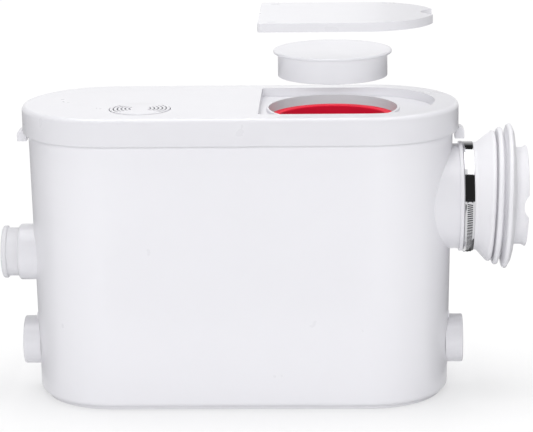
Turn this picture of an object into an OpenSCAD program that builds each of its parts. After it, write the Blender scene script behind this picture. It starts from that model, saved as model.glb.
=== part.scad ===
// Macerator toilet pump: a stadium shaped waste tank with a lid, pan coupling, side inlets,
// and a pump inside. X runs along the tank, Z is up, the origin is on the floor at the
// tank's centre. The access cover and plug are lifted clear of the lid, as when serviced.

/* [Lid] */
// Length of the lid
lid_l = 392; // [360:1:440]
// Depth of the lid
lid_d = 162; // [152:1:190]
// Thickness of the lid's top plate
lid_plate_t = 3; // [2.5:0.1:4]
// Height of the lid's skirt
skirt_h = 24.5; // [18:0.5:30]
// Thickness of the lid's skirt
skirt_t = 2.6; // [2:0.1:3.5]
// Radius of the lid's rounded top edge
lid_edge_r = 4.5; // [2:0.5:6]
// Space between the skirt and the tank
skirt_gap = 2.2; // [1.5:0.1:3]
// Thickness of the gasket between lid and tank
gasket_t = 2.5; // [1:0.5:4]

/* [Tank] */
// Height of the tank without its pad
tank_h = 260; // [255:1:290]
// Thickness of the tank's wall
tank_wall = 3; // [2:0.5:4]
// How far the wall leans in from rim to base
tank_draft = 4.2; // [0:0.2:6]
// Radius of the tank's bottom edge
tank_edge_r = 8; // [3:0.5:10]
// Thickness of the rubber base pad
pad_t = 3; // [2:0.5:5]
// How far the pad lies inside the tank's edge
pad_inset = 9; // [4:0.5:14]

/* [Access opening] */
// Depth of the recess in the lid
recess_depth = 8; // [6:0.5:10]
// Radius of the recess's round end
recess_r = 62; // [61:0.5:63]
// Centre of the recess's round end along the lid
recess_x = 112.7; // [110:0.5:115]
// Place of the recess's straight end along the lid
recess_end_x = 18.2; // [10:0.5:20]
// Radius of the recess's corners
recess_corner_r = 4; // [2:0.5:8]
// Thickness of the recess's floor and walls
recess_t = 2.5; // [2:0.1:3]
// Centre of the access neck along the lid
access_x = 83.5; // [82:0.5:85]
// Outer radius of the access neck
neck_r = 59.6; // [58:0.1:60]
// Thickness of the access neck
neck_t = 1.9; // [1.5:0.1:2.2]
// Height of the neck's rim over the recess floor
neck_rim_h = 2.4; // [1:0.1:3]
// Depth of the seal's flange below the neck's rim
seal_drop = 8.4; // [7:0.1:10]
// Thickness of the seal's flange
seal_flange_t = 3; // [2:0.5:4]
// Inner radius of the seal
seal_bore_r = 49.2; // [48:0.1:50]
// Thickness of the seal's tube
seal_t = 2.2; // [1.5:0.1:2.5]
// Length of the seal's tube
seal_h = 24; // [18:0.5:28]
// Thickness of the ledge that carries the seal
ledge_t = 3; // [2:0.5:4]

/* [Access cover and plug] */
// Height to which the cover is lifted
cover_lift = 79.5; // [70:0.5:90]
// Height to which the plug is lifted
plug_lift = 57.5; // [50:0.5:60]
// Thickness of the cover's top plate
cover_plate_t = 2.5; // [2:0.1:3]
// Outer radius of the boss under the cover
boss_r = 43; // [38:0.5:46]
// Thickness of the boss's wall
boss_t = 2.2; // [1.5:0.1:3]
// How far the boss stands below the cover
boss_drop = 2.7; // [1:0.1:2.9]
// Radius of the finger notch in the cover's tip
notch_r = 17; // [12:0.5:18]
// Radius of the plug's flange
plug_r = 53; // [51:0.5:55]
// Thickness of the plug's flange
plug_flange_t = 3; // [2:0.5:3]
// Height of the plug's skirt
plug_skirt_h = 20.5; // [15:0.5:23]
// Thickness of the plug's skirt
plug_skirt_t = 2.5; // [2:0.5:4]

/* [Vent] */
// Radius of the vent grille
vent_r = 27; // [24:0.5:28]
// Centre of the vent along the lid
vent_x = -87; // [-92:0.5:-80]
// Centre of the vent across the lid
vent_y = -34.5; // [-36:0.5:-30]
// Thickness of the grille
vent_t = 2.2; // [1.8:0.1:2.4]
// Width of the grille's slots
vent_slot_w = 1.5; // [1:0.1:2]
// Number of rings of slots
vent_rings = 6; // [3:1:6]
// Height of the carbon filter
filter_h = 14; // [10:0.5:18]

/* [Pan inlet] */
// Distance of the pan inlet's centre below the tank's rim
inlet_drop = 83; // [81:0.5:85]
// Outer radius of the inlet's collar
collar_r = 47.5; // [47:0.1:48]
// How far the collar stands out from the tank's end
collar_out = 6.5; // [5:0.5:8]
// Radius of the collar's rim
collar_rim_r = 49.7; // [49.4:0.1:51]
// Width of the collar's rim
collar_rim_w = 3; // [2:0.5:4]
// Outer radius of the spigot that the coupling grips
spigot_r = 46; // [45.5:0.1:46.5]
// Bore radius of the inlet
inlet_bore_r = 40; // [39.5:0.1:40.2]
// Length of the spigot
spigot_l = 11; // [10:0.5:12]
// Wall of the coupling under the clamp
coupling_t = 2.5; // [2:0.1:3]
// Radius of the coupling's first fin
fin_first_r = 59; // [57:0.5:60]
// How much each further fin is larger
fin_step_r = 3.2; // [2:0.1:4]
// Distance from fin to fin
fin_pitch = 7.5; // [6.5:0.1:9]
// Number of fins
fin_count = 3; // [2:1:5]
// Thickness of a fin's tip
fin_tip_t = 1.4; // [1:0.1:2]
// Radius of the grooves between fins
groove_r = 50.5; // [49:0.5:52]
// Outer radius of the cuff
cuff_r = 43.8; // [43.6:0.1:44.2]
// Length of the cuff
cuff_l = 13.8; // [12:0.2:20]
// Width of the clamp's band
band_w = 9; // [9:0.5:10]
// Thickness of the clamp's band
band_t = 0.9; // [0.6:0.1:1.2]

/* [Side inlets] */
// Height of the low inlets' centres
low_z = 46.5; // [44:0.5:50]
// Outer radius of the low inlets
low_r = 22; // [21:0.1:23.5]
// Wall of the low inlets
low_t = 2.5; // [2:0.1:3.5]
// How far the low inlets stand out
low_out = 13; // [10:0.5:25]
// Height of the basin inlet's centre
basin_z = 130; // [126:1:140]
// Outer radius of the basin inlet
basin_r = 25.5; // [25:0.1:27]
// How far the basin inlet stands out
basin_out = 14; // [12:0.5:20]
// Outer radius of the basin sleeve
sleeve_r = 22; // [21.5:0.1:22.8]
// Wall of the basin sleeve
sleeve_t = 2.4; // [2.2:0.1:3.5]
// How far the sleeve stands out of its inlet
sleeve_out = 15; // [12:0.5:22]
// Radius of the sleeve's end lip
lip_r = 23.9; // [23.4:0.1:25]
// Width of the sleeve's end lip
lip_w = 5; // [4:0.5:8]

/* [Pump] */
// Height of the pump's shaft over the floor
shaft_z = 80; // [78:1:84]
// Radius of the shaft
shaft_r = 6; // [5:0.5:6.5]
// Radius of the motor's housing
motor_r = 46; // [44:0.5:47]
// Wall of the motor's housing
motor_t = 3; // [2:0.5:4]
// Length of the motor's housing
motor_l = 112; // [108:1:114]
// Radius of the rotor
rotor_r = 23.6; // [20:0.2:24.5]
// Radius of the pump casing
volute_r = 50; // [48:0.5:52]
// Length of the pump casing
volute_l = 34; // [30:1:36]
// Radius of the impeller
impeller_r = 38; // [34:0.5:40]
// Number of vanes
vane_count = 6; // [4:1:8]
// Radius of the cutter's sweep
cutter_r = 38; // [32:0.5:42]
// Radius of the basket
basket_r = 55.5; // [54:0.5:56]
// Wall of the basket
basket_t = 2.5; // [2:0.1:3]
// Radius of the basket's drain holes
drain_r = 4; // [2.5:0.25:5]
// Number of drain holes in a ring
drain_count = 10; // [6:2:12]

/* [Hidden] */
$fn = 72;

// Overrun of cuts, clearances
over = 1;
fit = 0.05;
gap = 0.3;

// Levels and radii of tank and lid
a = (lid_l - lid_d) / 2;
lid_r = lid_d / 2;
rim_r = lid_r - skirt_t - skirt_gap;
base_r = rim_r - tank_draft;
tank_z = pad_t;
rim_z = tank_z + tank_h;
lid_under = rim_z + gasket_t;
top_z = lid_under + lid_plate_t;
floor_z = tank_z + tank_wall;
function wall_r(z) = base_r + tank_draft * (z - tank_z) / tank_h;
function end_x(z) = a + wall_r(z);

inlet_z = rim_z - inlet_drop;

// Levels of the access opening
recess_z = top_z - recess_depth;
neck_top = recess_z + neck_rim_h;
seal_z = neck_top - seal_drop;
ledge_z = seal_z - seal_flange_t;
neck_bottom = ledge_z - ledge_t;
neck_in = neck_r - neck_t;
seal_r = seal_bore_r + seal_t;
seal_end = ledge_z - seal_h + seal_flange_t;
plug_skirt_r = seal_bore_r - gap;
cover_gap = 0.5;
cover_t = recess_depth - gap;
cover_z = recess_z + gap;
boss_z = cover_z - boss_drop;
plug_z = seal_z + gap;
mark_w = 8;
mark_d = 3;
mark_t = 0.4;
mark_inset = 9;
mark_y = recess_r - mark_inset;
mark_end = 13;
mark_near_x = recess_end_x + mark_end;
mark_far_x = recess_x + 1.5 * mark_end;

// Vent and filter
vent_seat = vent_t + gap;
vent_hub_r = 8;
vent_edge = 1.2;
vent_pitch = (vent_r - vent_edge - vent_slot_w - vent_hub_r) / (vent_rings - 1);
slot_angle = 62;
cup_t = 1.6;
cup_r = vent_r - 1;

// Pan inlet and coupling
collar_end = end_x(inlet_z) + collar_out;
rim_end = collar_end + collar_rim_w;
spigot_end = rim_end + spigot_l;
coupling_in = spigot_r + fit;
grip_r = coupling_in + coupling_t;
grip_x = rim_end + gap;
grip_end = spigot_end + coupling_t;
cone_l = 11.5;
fins_x = grip_end + cone_l;
groove_share = 0.3;
cuff_step = 1;
cuff_foot = 4.5;
cuff_x = fins_x + (fin_count - 1) * fin_pitch + cuff_foot;
cuff_end = cuff_x + cuff_l;
cuff_t = 2.3;
cuff_lip = 1.8;
band_in = grip_r + fit;
band_x = grip_x + gap;
worm_r = 2.8;
worm_wall = 2;
worm_y = band_in + band_t + worm_r + worm_wall;
housing_w = 9;
housing_h = 13;
worm_l = 30;
worm_head_r = 4;
worm_head_h = 5;
// Angle from the back down to the clamp's housing
clamp_turn = 52;

// Side inlets
low_end = end_x(low_z) + low_out;
low_bore = low_r - low_t;
eye_drop = 0.8;
low_eye = low_bore - eye_drop;
boss_end = end_x(low_z) + gap;
basin_end = end_x(basin_z) + basin_out;
sleeve_end = basin_end + sleeve_out;
sleeve_in = 14;
// How much bores are wider behind the length that holds a pipe or cable
bore_ease = 0.6;
flap_t = 2;
flap_seat_l = 6;
seat_x = end_x(low_z) - tank_wall - flap_seat_l;
flap_lap = 1.2;
flap_r = low_bore + flap_lap;
hinge_rise = 3.5;
hinge_z = low_z + low_r + hinge_rise;
ear_z = low_z + low_r + gap;
hinge_x = seat_x - gap - flap_t;
pin_r = 1.2;
hub_r = 2.6;
ear_t = 2;
hub_w = 16;
ear_y = (hub_w + ear_t) / 2 + gap;

// Pump, from left to right
housing_x = -150;
housing_end = housing_x + motor_l;
plate_t = 8;
plate_end = housing_end + plate_t;
volute_end = plate_end + volute_l;
cover_plate_l = 4;
eye_r = 18;
volute_t = 4;
volute_rim = 6;
bearing_r = 15;
bearing_l = 11;
air_gap = 0.6;
stator_in = rotor_r + air_gap;
stator_r = motor_r - motor_t - fit;
stack_l = 60;
stack_start = 26;
stack_x = housing_x + stack_start;
coil_l = 11;
coil_out = 3;
coil_in = 5;
rotor_l = 56;
cutter_x = access_x;
cutter_l = 14;
blade_t = 2;
shaft_tip = 6;
shaft_end = access_x + cutter_l / 2 + shaft_tip;
shaft_start = housing_x + motor_t + gap;
seal_ring_r = 13;
seal_ring_l = 7;
outlet_x = plate_end + volute_l / 2;
outlet_y = 34;
outlet_r = 14;
outlet_t = 3;
outlet_rise = 12;
outlet_z = shaft_z + volute_r + outlet_rise;
vane_t = 2.4;
vane_gap = 8;
disc_t = 3;
elbow_drop = 47;
elbow_z = rim_z - elbow_drop;
stack_h = elbow_z - outlet_r - outlet_z;
riser_share = 0.4;
riser_h = riser_share * stack_h;
valve_h = stack_h - riser_h;
valve_z = outlet_z + riser_h;
valve_r = 20;
valve_t = 4;
shelf_t = 4;
shelf_r = 10;
disc_r = 12.5;
valve_hinge_y = outlet_y - disc_r + gap;
valve_hub_w = 7;
valve_hinge_z = valve_z + shelf_t + gap + hub_r;
elbow_out = 32;
barb_r = 1.6;
grommet_t = 2.5;
grommet_lip = 3;
basket_top = seal_end - 2 * gap;
drain_low = 16;
drain_pitch = 14;
cradle_w = 15;
cradle_y = 38;
cradle_inset = 14;
cradle_places = [housing_x + cradle_inset, housing_end - cradle_inset - cradle_w];

// Level sensing and electrics
chamber_x = -125;
chamber_y = 43;
chamber_r = 22;
chamber_z = 140;
chamber_h = 48;
chamber_t = 2;
dip_y = 57.5;
dip_r = 7;
dip_z = 14;
membrane_t = 1.5;
switch_w = 30;
switch_d = 18;
switch_h = 22;
plunger_r = 2;
plunger_l = 14;
box_x = -98;
box_l = 84;
box_d = 62;
box_y = -box_d;
box_z = 136;
box_h = 46;
box_t = 2.5;
box_foot_w = 10;
box_lid_t = 3;
cap_r = 14;
cap_inset = 6;
cap_end = 7;
cap_l = box_l - 2 * box_t - 2 * cap_inset - cap_end;
board_gap = 4;
board_t = 1.6;
screw_r = 2;
screw_head_r = 3.6;
screw_head_h = 2.4;
screw_l = 8;
gland_x = -96;
gland_drop = 41;
gland_z = rim_z - gland_drop;
gland_r = 9;
gland_nut_r = 13;

// Clips at the ends of the lid
clip_w = 16;
clip_h = 11.5;
clip_out = 5.6;
clip_tongue_t = 1.4;
clip_gap = 0.8;
clip_tongue_h = 12;

white = [0.95, 0.95, 0.96];
grey = [0.75, 0.76, 0.78];
dark = [0.2, 0.2, 0.22];
red = [0.78, 0.08, 0.18];
steel = [0.7, 0.71, 0.73];
copper = [0.72, 0.43, 0.22];

// Solid of a section (r, z) swept round a stadium: half turns at both ends, straight between
module stadium(section) {
    for (side = [0, 1])
        rotate([0, 0, 180 * side]) {
            translate([a, 0, 0]) rotate([0, 0, -90]) rotate_extrude(angle = 180) polygon(section);
            translate([a, 0, 0]) rotate([90, 0, -90]) linear_extrude(2 * a) mirror([1, 0]) polygon(section);
        }
}

// Points of an arc, from one angle to another
function arc(r, cx, cy, from, to, steps = 8) =
    [for (i = [0:steps]) let(t = from + (to - from) * i / steps) [cx + r * cos(t), cy + r * sin(t)]];

// Cylinders along X and Y that start at a place
module bar_x(r, x, l, y = 0, z = 0) {
    translate([x, y, z]) rotate([0, 90, 0]) cylinder(r = r, h = l);
}
module bar_y(r, y, l, x = 0, z = 0) {
    translate([x, y, z]) rotate([-90, 0, 0]) cylinder(r = r, h = l);
}
module tube_x(r, t, x, l, y = 0, z = 0) {
    difference() {
        bar_x(r, x, l, y, z);
        bar_x(r - t, x - over, l + 2 * over, y, z);
    }
}
module tube_z(r, t, h) {
    difference() {
        cylinder(r = r, h = h);
        translate([0, 0, -over]) cylinder(r = r - t, h = h + 2 * over);
    }
}

// Plan of the recess: straight at one end with two rounded corners, round at the other
module recess_plan(grow) {
    r = recess_r + grow;
    x = recess_end_x - grow;
    c = recess_corner_r + grow;
    translate([recess_x, 0]) circle(r);
    translate([x + c, -r]) square([recess_x - x - c, 2 * r]);
    translate([x, c - r]) square([c + over, 2 * (r - c)]);
    for (side = [-1, 1])
        translate([x + c, side * (r - c)]) circle(c);
}

module tank() {
    section = concat(
        [[0, tank_z]],
        arc(tank_edge_r, base_r - tank_edge_r, tank_z + tank_edge_r, -90, 0),
        [[rim_r, rim_z], [rim_r - tank_wall, rim_z], [base_r - tank_wall, floor_z], [0, floor_z]]);
    color(white) difference() {
        union() {
            stadium(section);
            // Collar and spigot of the pan inlet
            bar_x(collar_r, a, collar_end - a, 0, inlet_z);
            bar_x(collar_rim_r, collar_end, collar_rim_w, 0, inlet_z);
            bar_x(spigot_r, rim_end, spigot_l, 0, inlet_z);
            // Bosses of the low inlets with the seats of their flaps, and the basin inlet
            for (side = [0, 1])
                mirror([side, 0, 0])
                    bar_x(low_r, seat_x, boss_end - seat_x, 0, low_z);
            mirror([1, 0, 0])
                bar_x(basin_r, end_x(basin_z) - tank_wall, basin_out + tank_wall, 0, basin_z);
            // Ears that hold the flaps' hinge pins
            for (side = [0, 1], ear = [-1, 1])
                mirror([side, 0, 0])
                    translate([hinge_x + flap_t / 2 - hub_r, ear * ear_y - ear_t / 2, ear_z])
                        cube([flap_seat_l + hub_r + tank_wall, ear_t, hinge_z + hub_r - ear_z]);
        }
        // The collar is hollow and leaves the tank's inside free
        bar_x(inlet_bore_r, a, spigot_end - a + over, 0, inlet_z);
        intersection() {
            bar_x(collar_r + over, a - over, 2 * collar_r, 0, inlet_z);
            stadium([[0, floor_z], [base_r - tank_wall, floor_z], [rim_r - tank_wall, rim_z], [0, rim_z]]);
        }
        for (side = [0, 1])
            mirror([side, 0, 0]) {
                bar_x(low_eye, seat_x - over, boss_end - seat_x + 2 * over, 0, low_z);
                translate([hinge_x + flap_t / 2, 0, hinge_z]) rotate([90, 0, 0])
                    cylinder(r = pin_r + fit, h = hub_w + 4 * ear_t, center = true);
            }
        mirror([1, 0, 0])
            bar_x(sleeve_r + fit, end_x(basin_z) - 2 * tank_wall, basin_out + 3 * tank_wall, 0, basin_z);
        // Holes for the discharge and the cable gland in the back wall
        bar_y(outlet_r + grommet_t, wall_r(elbow_z) - 3 * tank_wall, 6 * tank_wall, outlet_x, elbow_z);
        bar_y(gland_r + fit, wall_r(gland_z) - 3 * tank_wall, 6 * tank_wall, gland_x, gland_z);
    }
}

module lid() {
    section = concat(
        [[0, lid_under], [lid_r - skirt_t, lid_under], [lid_r - skirt_t, top_z - skirt_h],
            [lid_r, top_z - skirt_h]],
        arc(lid_edge_r, lid_r - lid_edge_r, top_z - lid_edge_r, 0, 90), [[0, top_z]]);
    color(white) difference() {
        union() {
            stadium(section);
            translate([0, 0, recess_z - recess_t])
                linear_extrude(recess_depth + recess_t - lid_plate_t / 2) recess_plan(recess_t);
            translate([access_x, 0, neck_bottom]) cylinder(r = neck_r, h = recess_z - neck_bottom);
        }
        difference() {
            translate([0, 0, recess_z]) linear_extrude(recess_depth + over) recess_plan(0);
            translate([access_x, 0, recess_z - over]) cylinder(r = neck_r, h = neck_rim_h + over);
        }
        translate([access_x, 0, ledge_z]) cylinder(r = neck_in, h = neck_top);
        translate([access_x, 0, neck_bottom - over]) cylinder(r = seal_r + gap, h = neck_top);
        translate([vent_x, vent_y, top_z - vent_seat]) cylinder(r = vent_r + fit, h = vent_seat + over);
        translate([vent_x, vent_y, lid_under - over]) cylinder(r = vent_r - 2 * vent_slot_w, h = lid_plate_t);
    }
}

module base_pad() {
    r = base_r - pad_inset;
    color(dark) stadium([[0, 0], [r, 0], [r, pad_t], [0, pad_t]]);
}

module lid_gasket() {
    r = rim_r - tank_wall;
    color(dark) stadium([[r, rim_z], [rim_r, rim_z], [rim_r, lid_under], [r, lid_under]]);
}

// A domed pad below the skirt at each end, with a tongue between skirt and tank
module lid_clips() {
    x = lid_l / 2 - skirt_t;
    z = top_z - skirt_h;
    color(white) for (side = [0, 1])
        mirror([side, 0, 0]) {
            intersection() {
                translate([x - clip_tongue_t - clip_gap, -clip_w / 2, z - clip_h])
                    cube([skirt_t + clip_out + clip_tongue_t + clip_gap, clip_w, clip_h]);
                translate([x + skirt_t + clip_out - clip_h, 0, z - clip_h]) rotate([90, 0, 0])
                    cylinder(r = clip_h, h = clip_w, center = true);
            }
            translate([x - clip_tongue_t - clip_gap, -clip_w / 2, z - clip_h])
                cube([clip_tongue_t, clip_w, clip_h + clip_tongue_h]);
            translate([x - clip_tongue_t - clip_gap, -clip_w / 2, z - clip_h])
                cube([skirt_t + clip_tongue_t + clip_gap, clip_w, clip_h]);
        }
}

module access_cover() {
    plate_z = cover_z + cover_t - cover_plate_t;
    cut_r = neck_r + cover_gap;
    color(white) translate([0, 0, cover_lift]) {
        difference() {
            translate([0, 0, cover_z]) linear_extrude(cover_t) recess_plan(-cover_gap);
            translate([access_x, 0, cover_z - over]) cylinder(r = cut_r, h = plate_z - cover_z + over);
            translate([recess_x + recess_r + notch_r / 4, 0, cover_z - over])
                cylinder(r = notch_r, h = cover_t + 2 * over);
            for (x = [mark_near_x, mark_far_x], y = mark_y * [-1, 1])
                translate([x - mark_w / 2, y - mark_d / 2, cover_z + cover_t - mark_t])
                    cube([mark_w, mark_d, mark_t + over]);
        }
        translate([access_x, 0, boss_z]) tube_z(boss_r, boss_t, plate_z - boss_z);
    }
}

module access_plug() {
    t = plug_flange_t;
    color(white) translate([access_x, 0, plug_lift + plug_z])
        rotate_extrude() polygon(concat(
            [[0, 0], [plug_skirt_r - plug_skirt_t, 0], [plug_skirt_r - plug_skirt_t, -plug_skirt_h],
                [plug_skirt_r, -plug_skirt_h], [plug_skirt_r, 0]],
            arc(t / 2, plug_r - t / 2, t / 2, -90, 90), [[0, t]]));
}

// Red rubber collar: a flange on the neck's ledge and a tube that hugs the plug
module access_seal() {
    color(red) translate([access_x, 0, 0])
        rotate_extrude() polygon([[seal_bore_r, seal_end], [seal_r, seal_end], [seal_r, ledge_z],
            [neck_in - fit, ledge_z], [neck_in - fit, seal_z], [seal_bore_r, seal_z]]);
}

// Round grille with rings of arc slots left and right of a plain band
module vent_grille() {
    color(white) translate([vent_x, vent_y, top_z - vent_seat]) difference() {
        cylinder(r = vent_r, h = vent_t);
        translate([0, 0, -over]) linear_extrude(vent_t + 2 * over)
            for (i = [0:vent_rings - 1], side = [0, 180])
                rotate(side) intersection() {
                    difference() {
                        circle(vent_hub_r + i * vent_pitch + vent_slot_w);
                        circle(vent_hub_r + i * vent_pitch);
                    }
                    polygon([[0, 0], 2 * vent_r * [cos(slot_angle), -sin(slot_angle)], [2 * vent_r, 0],
                        2 * vent_r * [cos(slot_angle), sin(slot_angle)]]);
                }
    }
}

module filter_cup() {
    h = filter_h + cup_t;
    color(grey) translate([vent_x, vent_y, lid_under - h]) difference() {
        cylinder(r = cup_r, h = h);
        translate([0, 0, cup_t]) cylinder(r = cup_r - cup_t, h = h);
        for (i = [0:5])
            rotate(60 * i) translate([cup_r / 2, 0, -over]) cylinder(r = drain_r, h = cup_t + 2 * over);
    }
}

module carbon_filter() {
    color(dark) translate([vent_x, vent_y, lid_under - filter_h])
        cylinder(r = cup_r - cup_t - fit, h = filter_h - gap);
}

// Rubber coupling: a sleeve under the clamp, growing fins, and the cuff for the pan
module inlet_coupling() {
    tip = fin_tip_t / 2;
    fins = [for (i = [0:fin_count - 1])
        let(x = fins_x + i * fin_pitch, r = fin_first_r + i * fin_step_r, g = fin_pitch * groove_share)
            for (p = [[x - tip, r - tip], [x, r], [x + tip, r - tip], [x + g, groove_r]]) p];
    outer = concat([[grip_x, grip_r], [grip_end, grip_r]], fins,
        [[cuff_x, groove_r], [cuff_x + cuff_step, cuff_r], [cuff_end - cuff_t, cuff_r],
            [cuff_end - cuff_t, cuff_r + cuff_lip], [cuff_end, cuff_r + cuff_lip]]);
    inner = [[cuff_end, cuff_r - cuff_t], [spigot_end + gap, cuff_r - cuff_t],
        [spigot_end + gap, coupling_in], [grip_x, coupling_in]];
    color(white) translate([0, 0, inlet_z]) rotate([90, 0, 90])
        rotate_extrude() polygon([for (p = concat(outer, inner)) [p[1], p[0]]]);
}

module clamp_band() {
    color(steel) tube_x(band_in + band_t, band_t, band_x, band_w, 0, inlet_z);
}

// Turns the clamp's housing and screw round the coupling, to below its back
module round_clamp() {
    translate([0, 0, inlet_z]) rotate([-clamp_turn, 0, 0]) translate([0, 0, -inlet_z]) children();
}

module clamp_housing() {
    y = band_in + band_t;
    t = worm_r + fit;
    color(steel) round_clamp() difference() {
        translate([band_x + (band_w - housing_w) / 2, y - band_t / 2, inlet_z - housing_h / 2])
            cube([housing_w, worm_y - y + worm_r + band_t, housing_h]);
        translate([band_x + band_w / 2, worm_y, inlet_z - housing_h]) cylinder(r = t, h = 2 * housing_h);
        bar_x(band_in + band_t, band_x - over, band_w + 2 * over, 0, inlet_z);
    }
}

module clamp_screw() {
    color(steel) round_clamp() translate([band_x + band_w / 2, worm_y, inlet_z - worm_l / 2]) {
        cylinder(r = worm_r, h = worm_l);
        translate([0, 0, -worm_head_h]) cylinder(r = worm_head_r, h = worm_head_h, $fn = 6);
    }
}

module basin_sleeve() {
    start = basin_end - sleeve_in;
    color(white) mirror([1, 0, 0]) difference() {
        union() {
            bar_x(sleeve_r, start, sleeve_end - start, 0, basin_z);
            bar_x(lip_r, sleeve_end - lip_w, lip_w, 0, basin_z);
        }
        bar_x(sleeve_r - sleeve_t, start - over, sleeve_end - start + 2 * over, 0, basin_z);
        bar_x(sleeve_r - sleeve_t + bore_ease, start - over, sleeve_in + gap + over, 0, basin_z);
    }
}

// Short pipe welded on the outer face of a low inlet's boss
module low_port() {
    tube_x(low_r, low_t, boss_end, low_end - boss_end, 0, low_z);
}
module left_low_port() { color(white) mirror([1, 0, 0]) low_port(); }
module right_low_port() { color(white) low_port(); }

// Rubber flap that hangs from its pin and closes a low inlet from inside
module inlet_flap() {
    x = hinge_x + flap_t / 2;
    difference() {
        union() {
            bar_x(flap_r, hinge_x, flap_t, 0, low_z);
            translate([hinge_x, -hub_w / 2, low_z]) cube([flap_t, hub_w, hinge_z - low_z]);
            translate([x, 0, hinge_z]) rotate([90, 0, 0]) cylinder(r = hub_r, h = hub_w, center = true);
        }
        translate([x, 0, hinge_z]) rotate([90, 0, 0])
            cylinder(r = pin_r + fit, h = hub_w + 2 * over, center = true);
    }
}
module left_flap() { color(dark) mirror([1, 0, 0]) inlet_flap(); }
module right_flap() { color(dark) inlet_flap(); }

module flap_pins() {
    color(steel) for (side = [0, 1])
        mirror([side, 0, 0]) translate([hinge_x + flap_t / 2, 0, hinge_z]) rotate([90, 0, 0])
            cylinder(r = pin_r, h = hub_w + 2 * ear_t + 2 * gap, center = true);
}

// Short pipe that leads the waste from the inlet into the basket
module inlet_chute() {
    x = access_x + basket_r / 2;
    color(grey) difference() {
        tube_x(inlet_bore_r - gap, basket_t, x, collar_end - x, 0, inlet_z);
        translate([access_x, 0, inlet_z - 2 * inlet_bore_r])
            cylinder(r = basket_r - basket_t, h = 4 * inlet_bore_r);
    }
}

// Drum that keeps solids at the cutter until they pass its holes
module basket() {
    h = basket_top - floor_z;
    color(grey) translate([access_x, 0, floor_z]) difference() {
        cylinder(r = basket_r, h = h);
        translate([0, 0, basket_t]) cylinder(r = basket_r - basket_t, h = h);
        bar_x(inlet_bore_r - gap + fit, 0, 2 * basket_r, 0, inlet_z - floor_z);
        bar_x(1.3 * shaft_r, -2 * basket_r, 2 * basket_r, 0, shaft_z - floor_z);
        for (ring = [0:2], i = [0:drain_count / 2 - 1])
            translate([0, 0, drain_low + ring * drain_pitch])
                rotate([90, 0, 180 * (2 * i + (ring % 2) + 1 / 2) / drain_count])
                    cylinder(r = drain_r, h = 3 * basket_r, center = true);
    }
}

module cutter() {
    color(steel) difference() {
        union() {
            bar_x(2 * shaft_r, cutter_x - cutter_l / 2, cutter_l, 0, shaft_z);
            translate([cutter_x, 0, shaft_z]) for (turn = [0, 1])
                rotate([90 * turn, 0, 0])
                    translate([(turn ? 1 : -1) * cutter_l / 4 - blade_t / 2, -shaft_r, -cutter_r])
                        cube([blade_t, 2 * shaft_r, 2 * cutter_r]);
        }
        bar_x(shaft_r + fit, cutter_x - cutter_l, 2 * cutter_l, 0, shaft_z);
    }
}

module shaft() {
    color(steel) bar_x(shaft_r, shaft_start, shaft_end - shaft_start, 0, shaft_z);
}

module rotor() {
    x = stack_x + (stack_l - rotor_l) / 2;
    color(steel) tube_x(rotor_r, rotor_r - shaft_r - fit, x, rotor_l, 0, shaft_z);
}

module stator() {
    color(steel) tube_x(stator_r, stator_r - stator_in, stack_x, stack_l, 0, shaft_z);
}

// Copper end turns on both sides of the stator
module windings() {
    color(copper) for (x = [stack_x - coil_l, stack_x + stack_l])
        tube_x(stator_r - coil_out, stator_r - stator_in - coil_in, x, coil_l, 0, shaft_z);
}

module motor_housing() {
    color(grey) difference() {
        bar_x(motor_r, housing_x, motor_l, 0, shaft_z);
        difference() {
            bar_x(motor_r - motor_t, housing_x + motor_t, motor_l, 0, shaft_z);
            bar_x(bearing_r + motor_t, housing_x, motor_t + bearing_l, 0, shaft_z);
        }
        bar_x(bearing_r + fit, housing_x + motor_t, bearing_l + over, 0, shaft_z);
    }
}

// Front plate of the motor with the second bearing's seat
module motor_plate() {
    color(grey) difference() {
        union() {
            bar_x(volute_r, housing_end, plate_t, 0, shaft_z);
            bar_x(bearing_r + motor_t, housing_end - bearing_l, bearing_l, 0, shaft_z);
        }
        bar_x(bearing_r + fit, housing_end - bearing_l - over, bearing_l + over, 0, shaft_z);
        bar_x(shaft_r + gap, housing_x, volute_end - housing_x, 0, shaft_z);
    }
}

module bearing(x) {
    tube_x(bearing_r, bearing_r - shaft_r - fit, x, bearing_l, 0, shaft_z);
}
module rear_bearing() { color(steel) bearing(housing_x + motor_t); }
module front_bearing() { color(steel) bearing(housing_end - bearing_l); }

module shaft_seal() {
    color(dark) tube_x(seal_ring_r, seal_ring_r - shaft_r - fit, plate_end, seal_ring_l, 0, shaft_z);
}

// Pump casing with its outlet pipe
module volute() {
    color(grey) difference() {
        union() {
            bar_x(volute_r, plate_end, volute_l, 0, shaft_z);
            translate([outlet_x, outlet_y, shaft_z]) cylinder(r = outlet_r, h = outlet_z - shaft_z);
        }
        bar_x(volute_r - volute_rim, plate_end + volute_t, volute_l, 0, shaft_z);
        bar_x(seal_ring_r + fit, plate_end - over, volute_l, 0, shaft_z);
        screw_ring() bar_x(screw_r + fit, 0, volute_l);
        translate([outlet_x, outlet_y, shaft_z]) cylinder(r = outlet_r - outlet_t, h = outlet_z);
    }
}

module volute_cover() {
    color(grey) difference() {
        tube_x(volute_r, volute_r - eye_r, volute_end, cover_plate_l, 0, shaft_z);
        screw_ring() bar_x(screw_r + fit, 0, volute_l);
    }
}

// Places of the screws round the pump casing's rim, where their shanks start
module screw_ring() {
    for (i = [0:5])
        translate([volute_end + cover_plate_l - screw_l, 0, shaft_z]) rotate([60 * i, 0, 0])
            translate([0, 0, volute_r - volute_rim / 2]) children();
}

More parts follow.
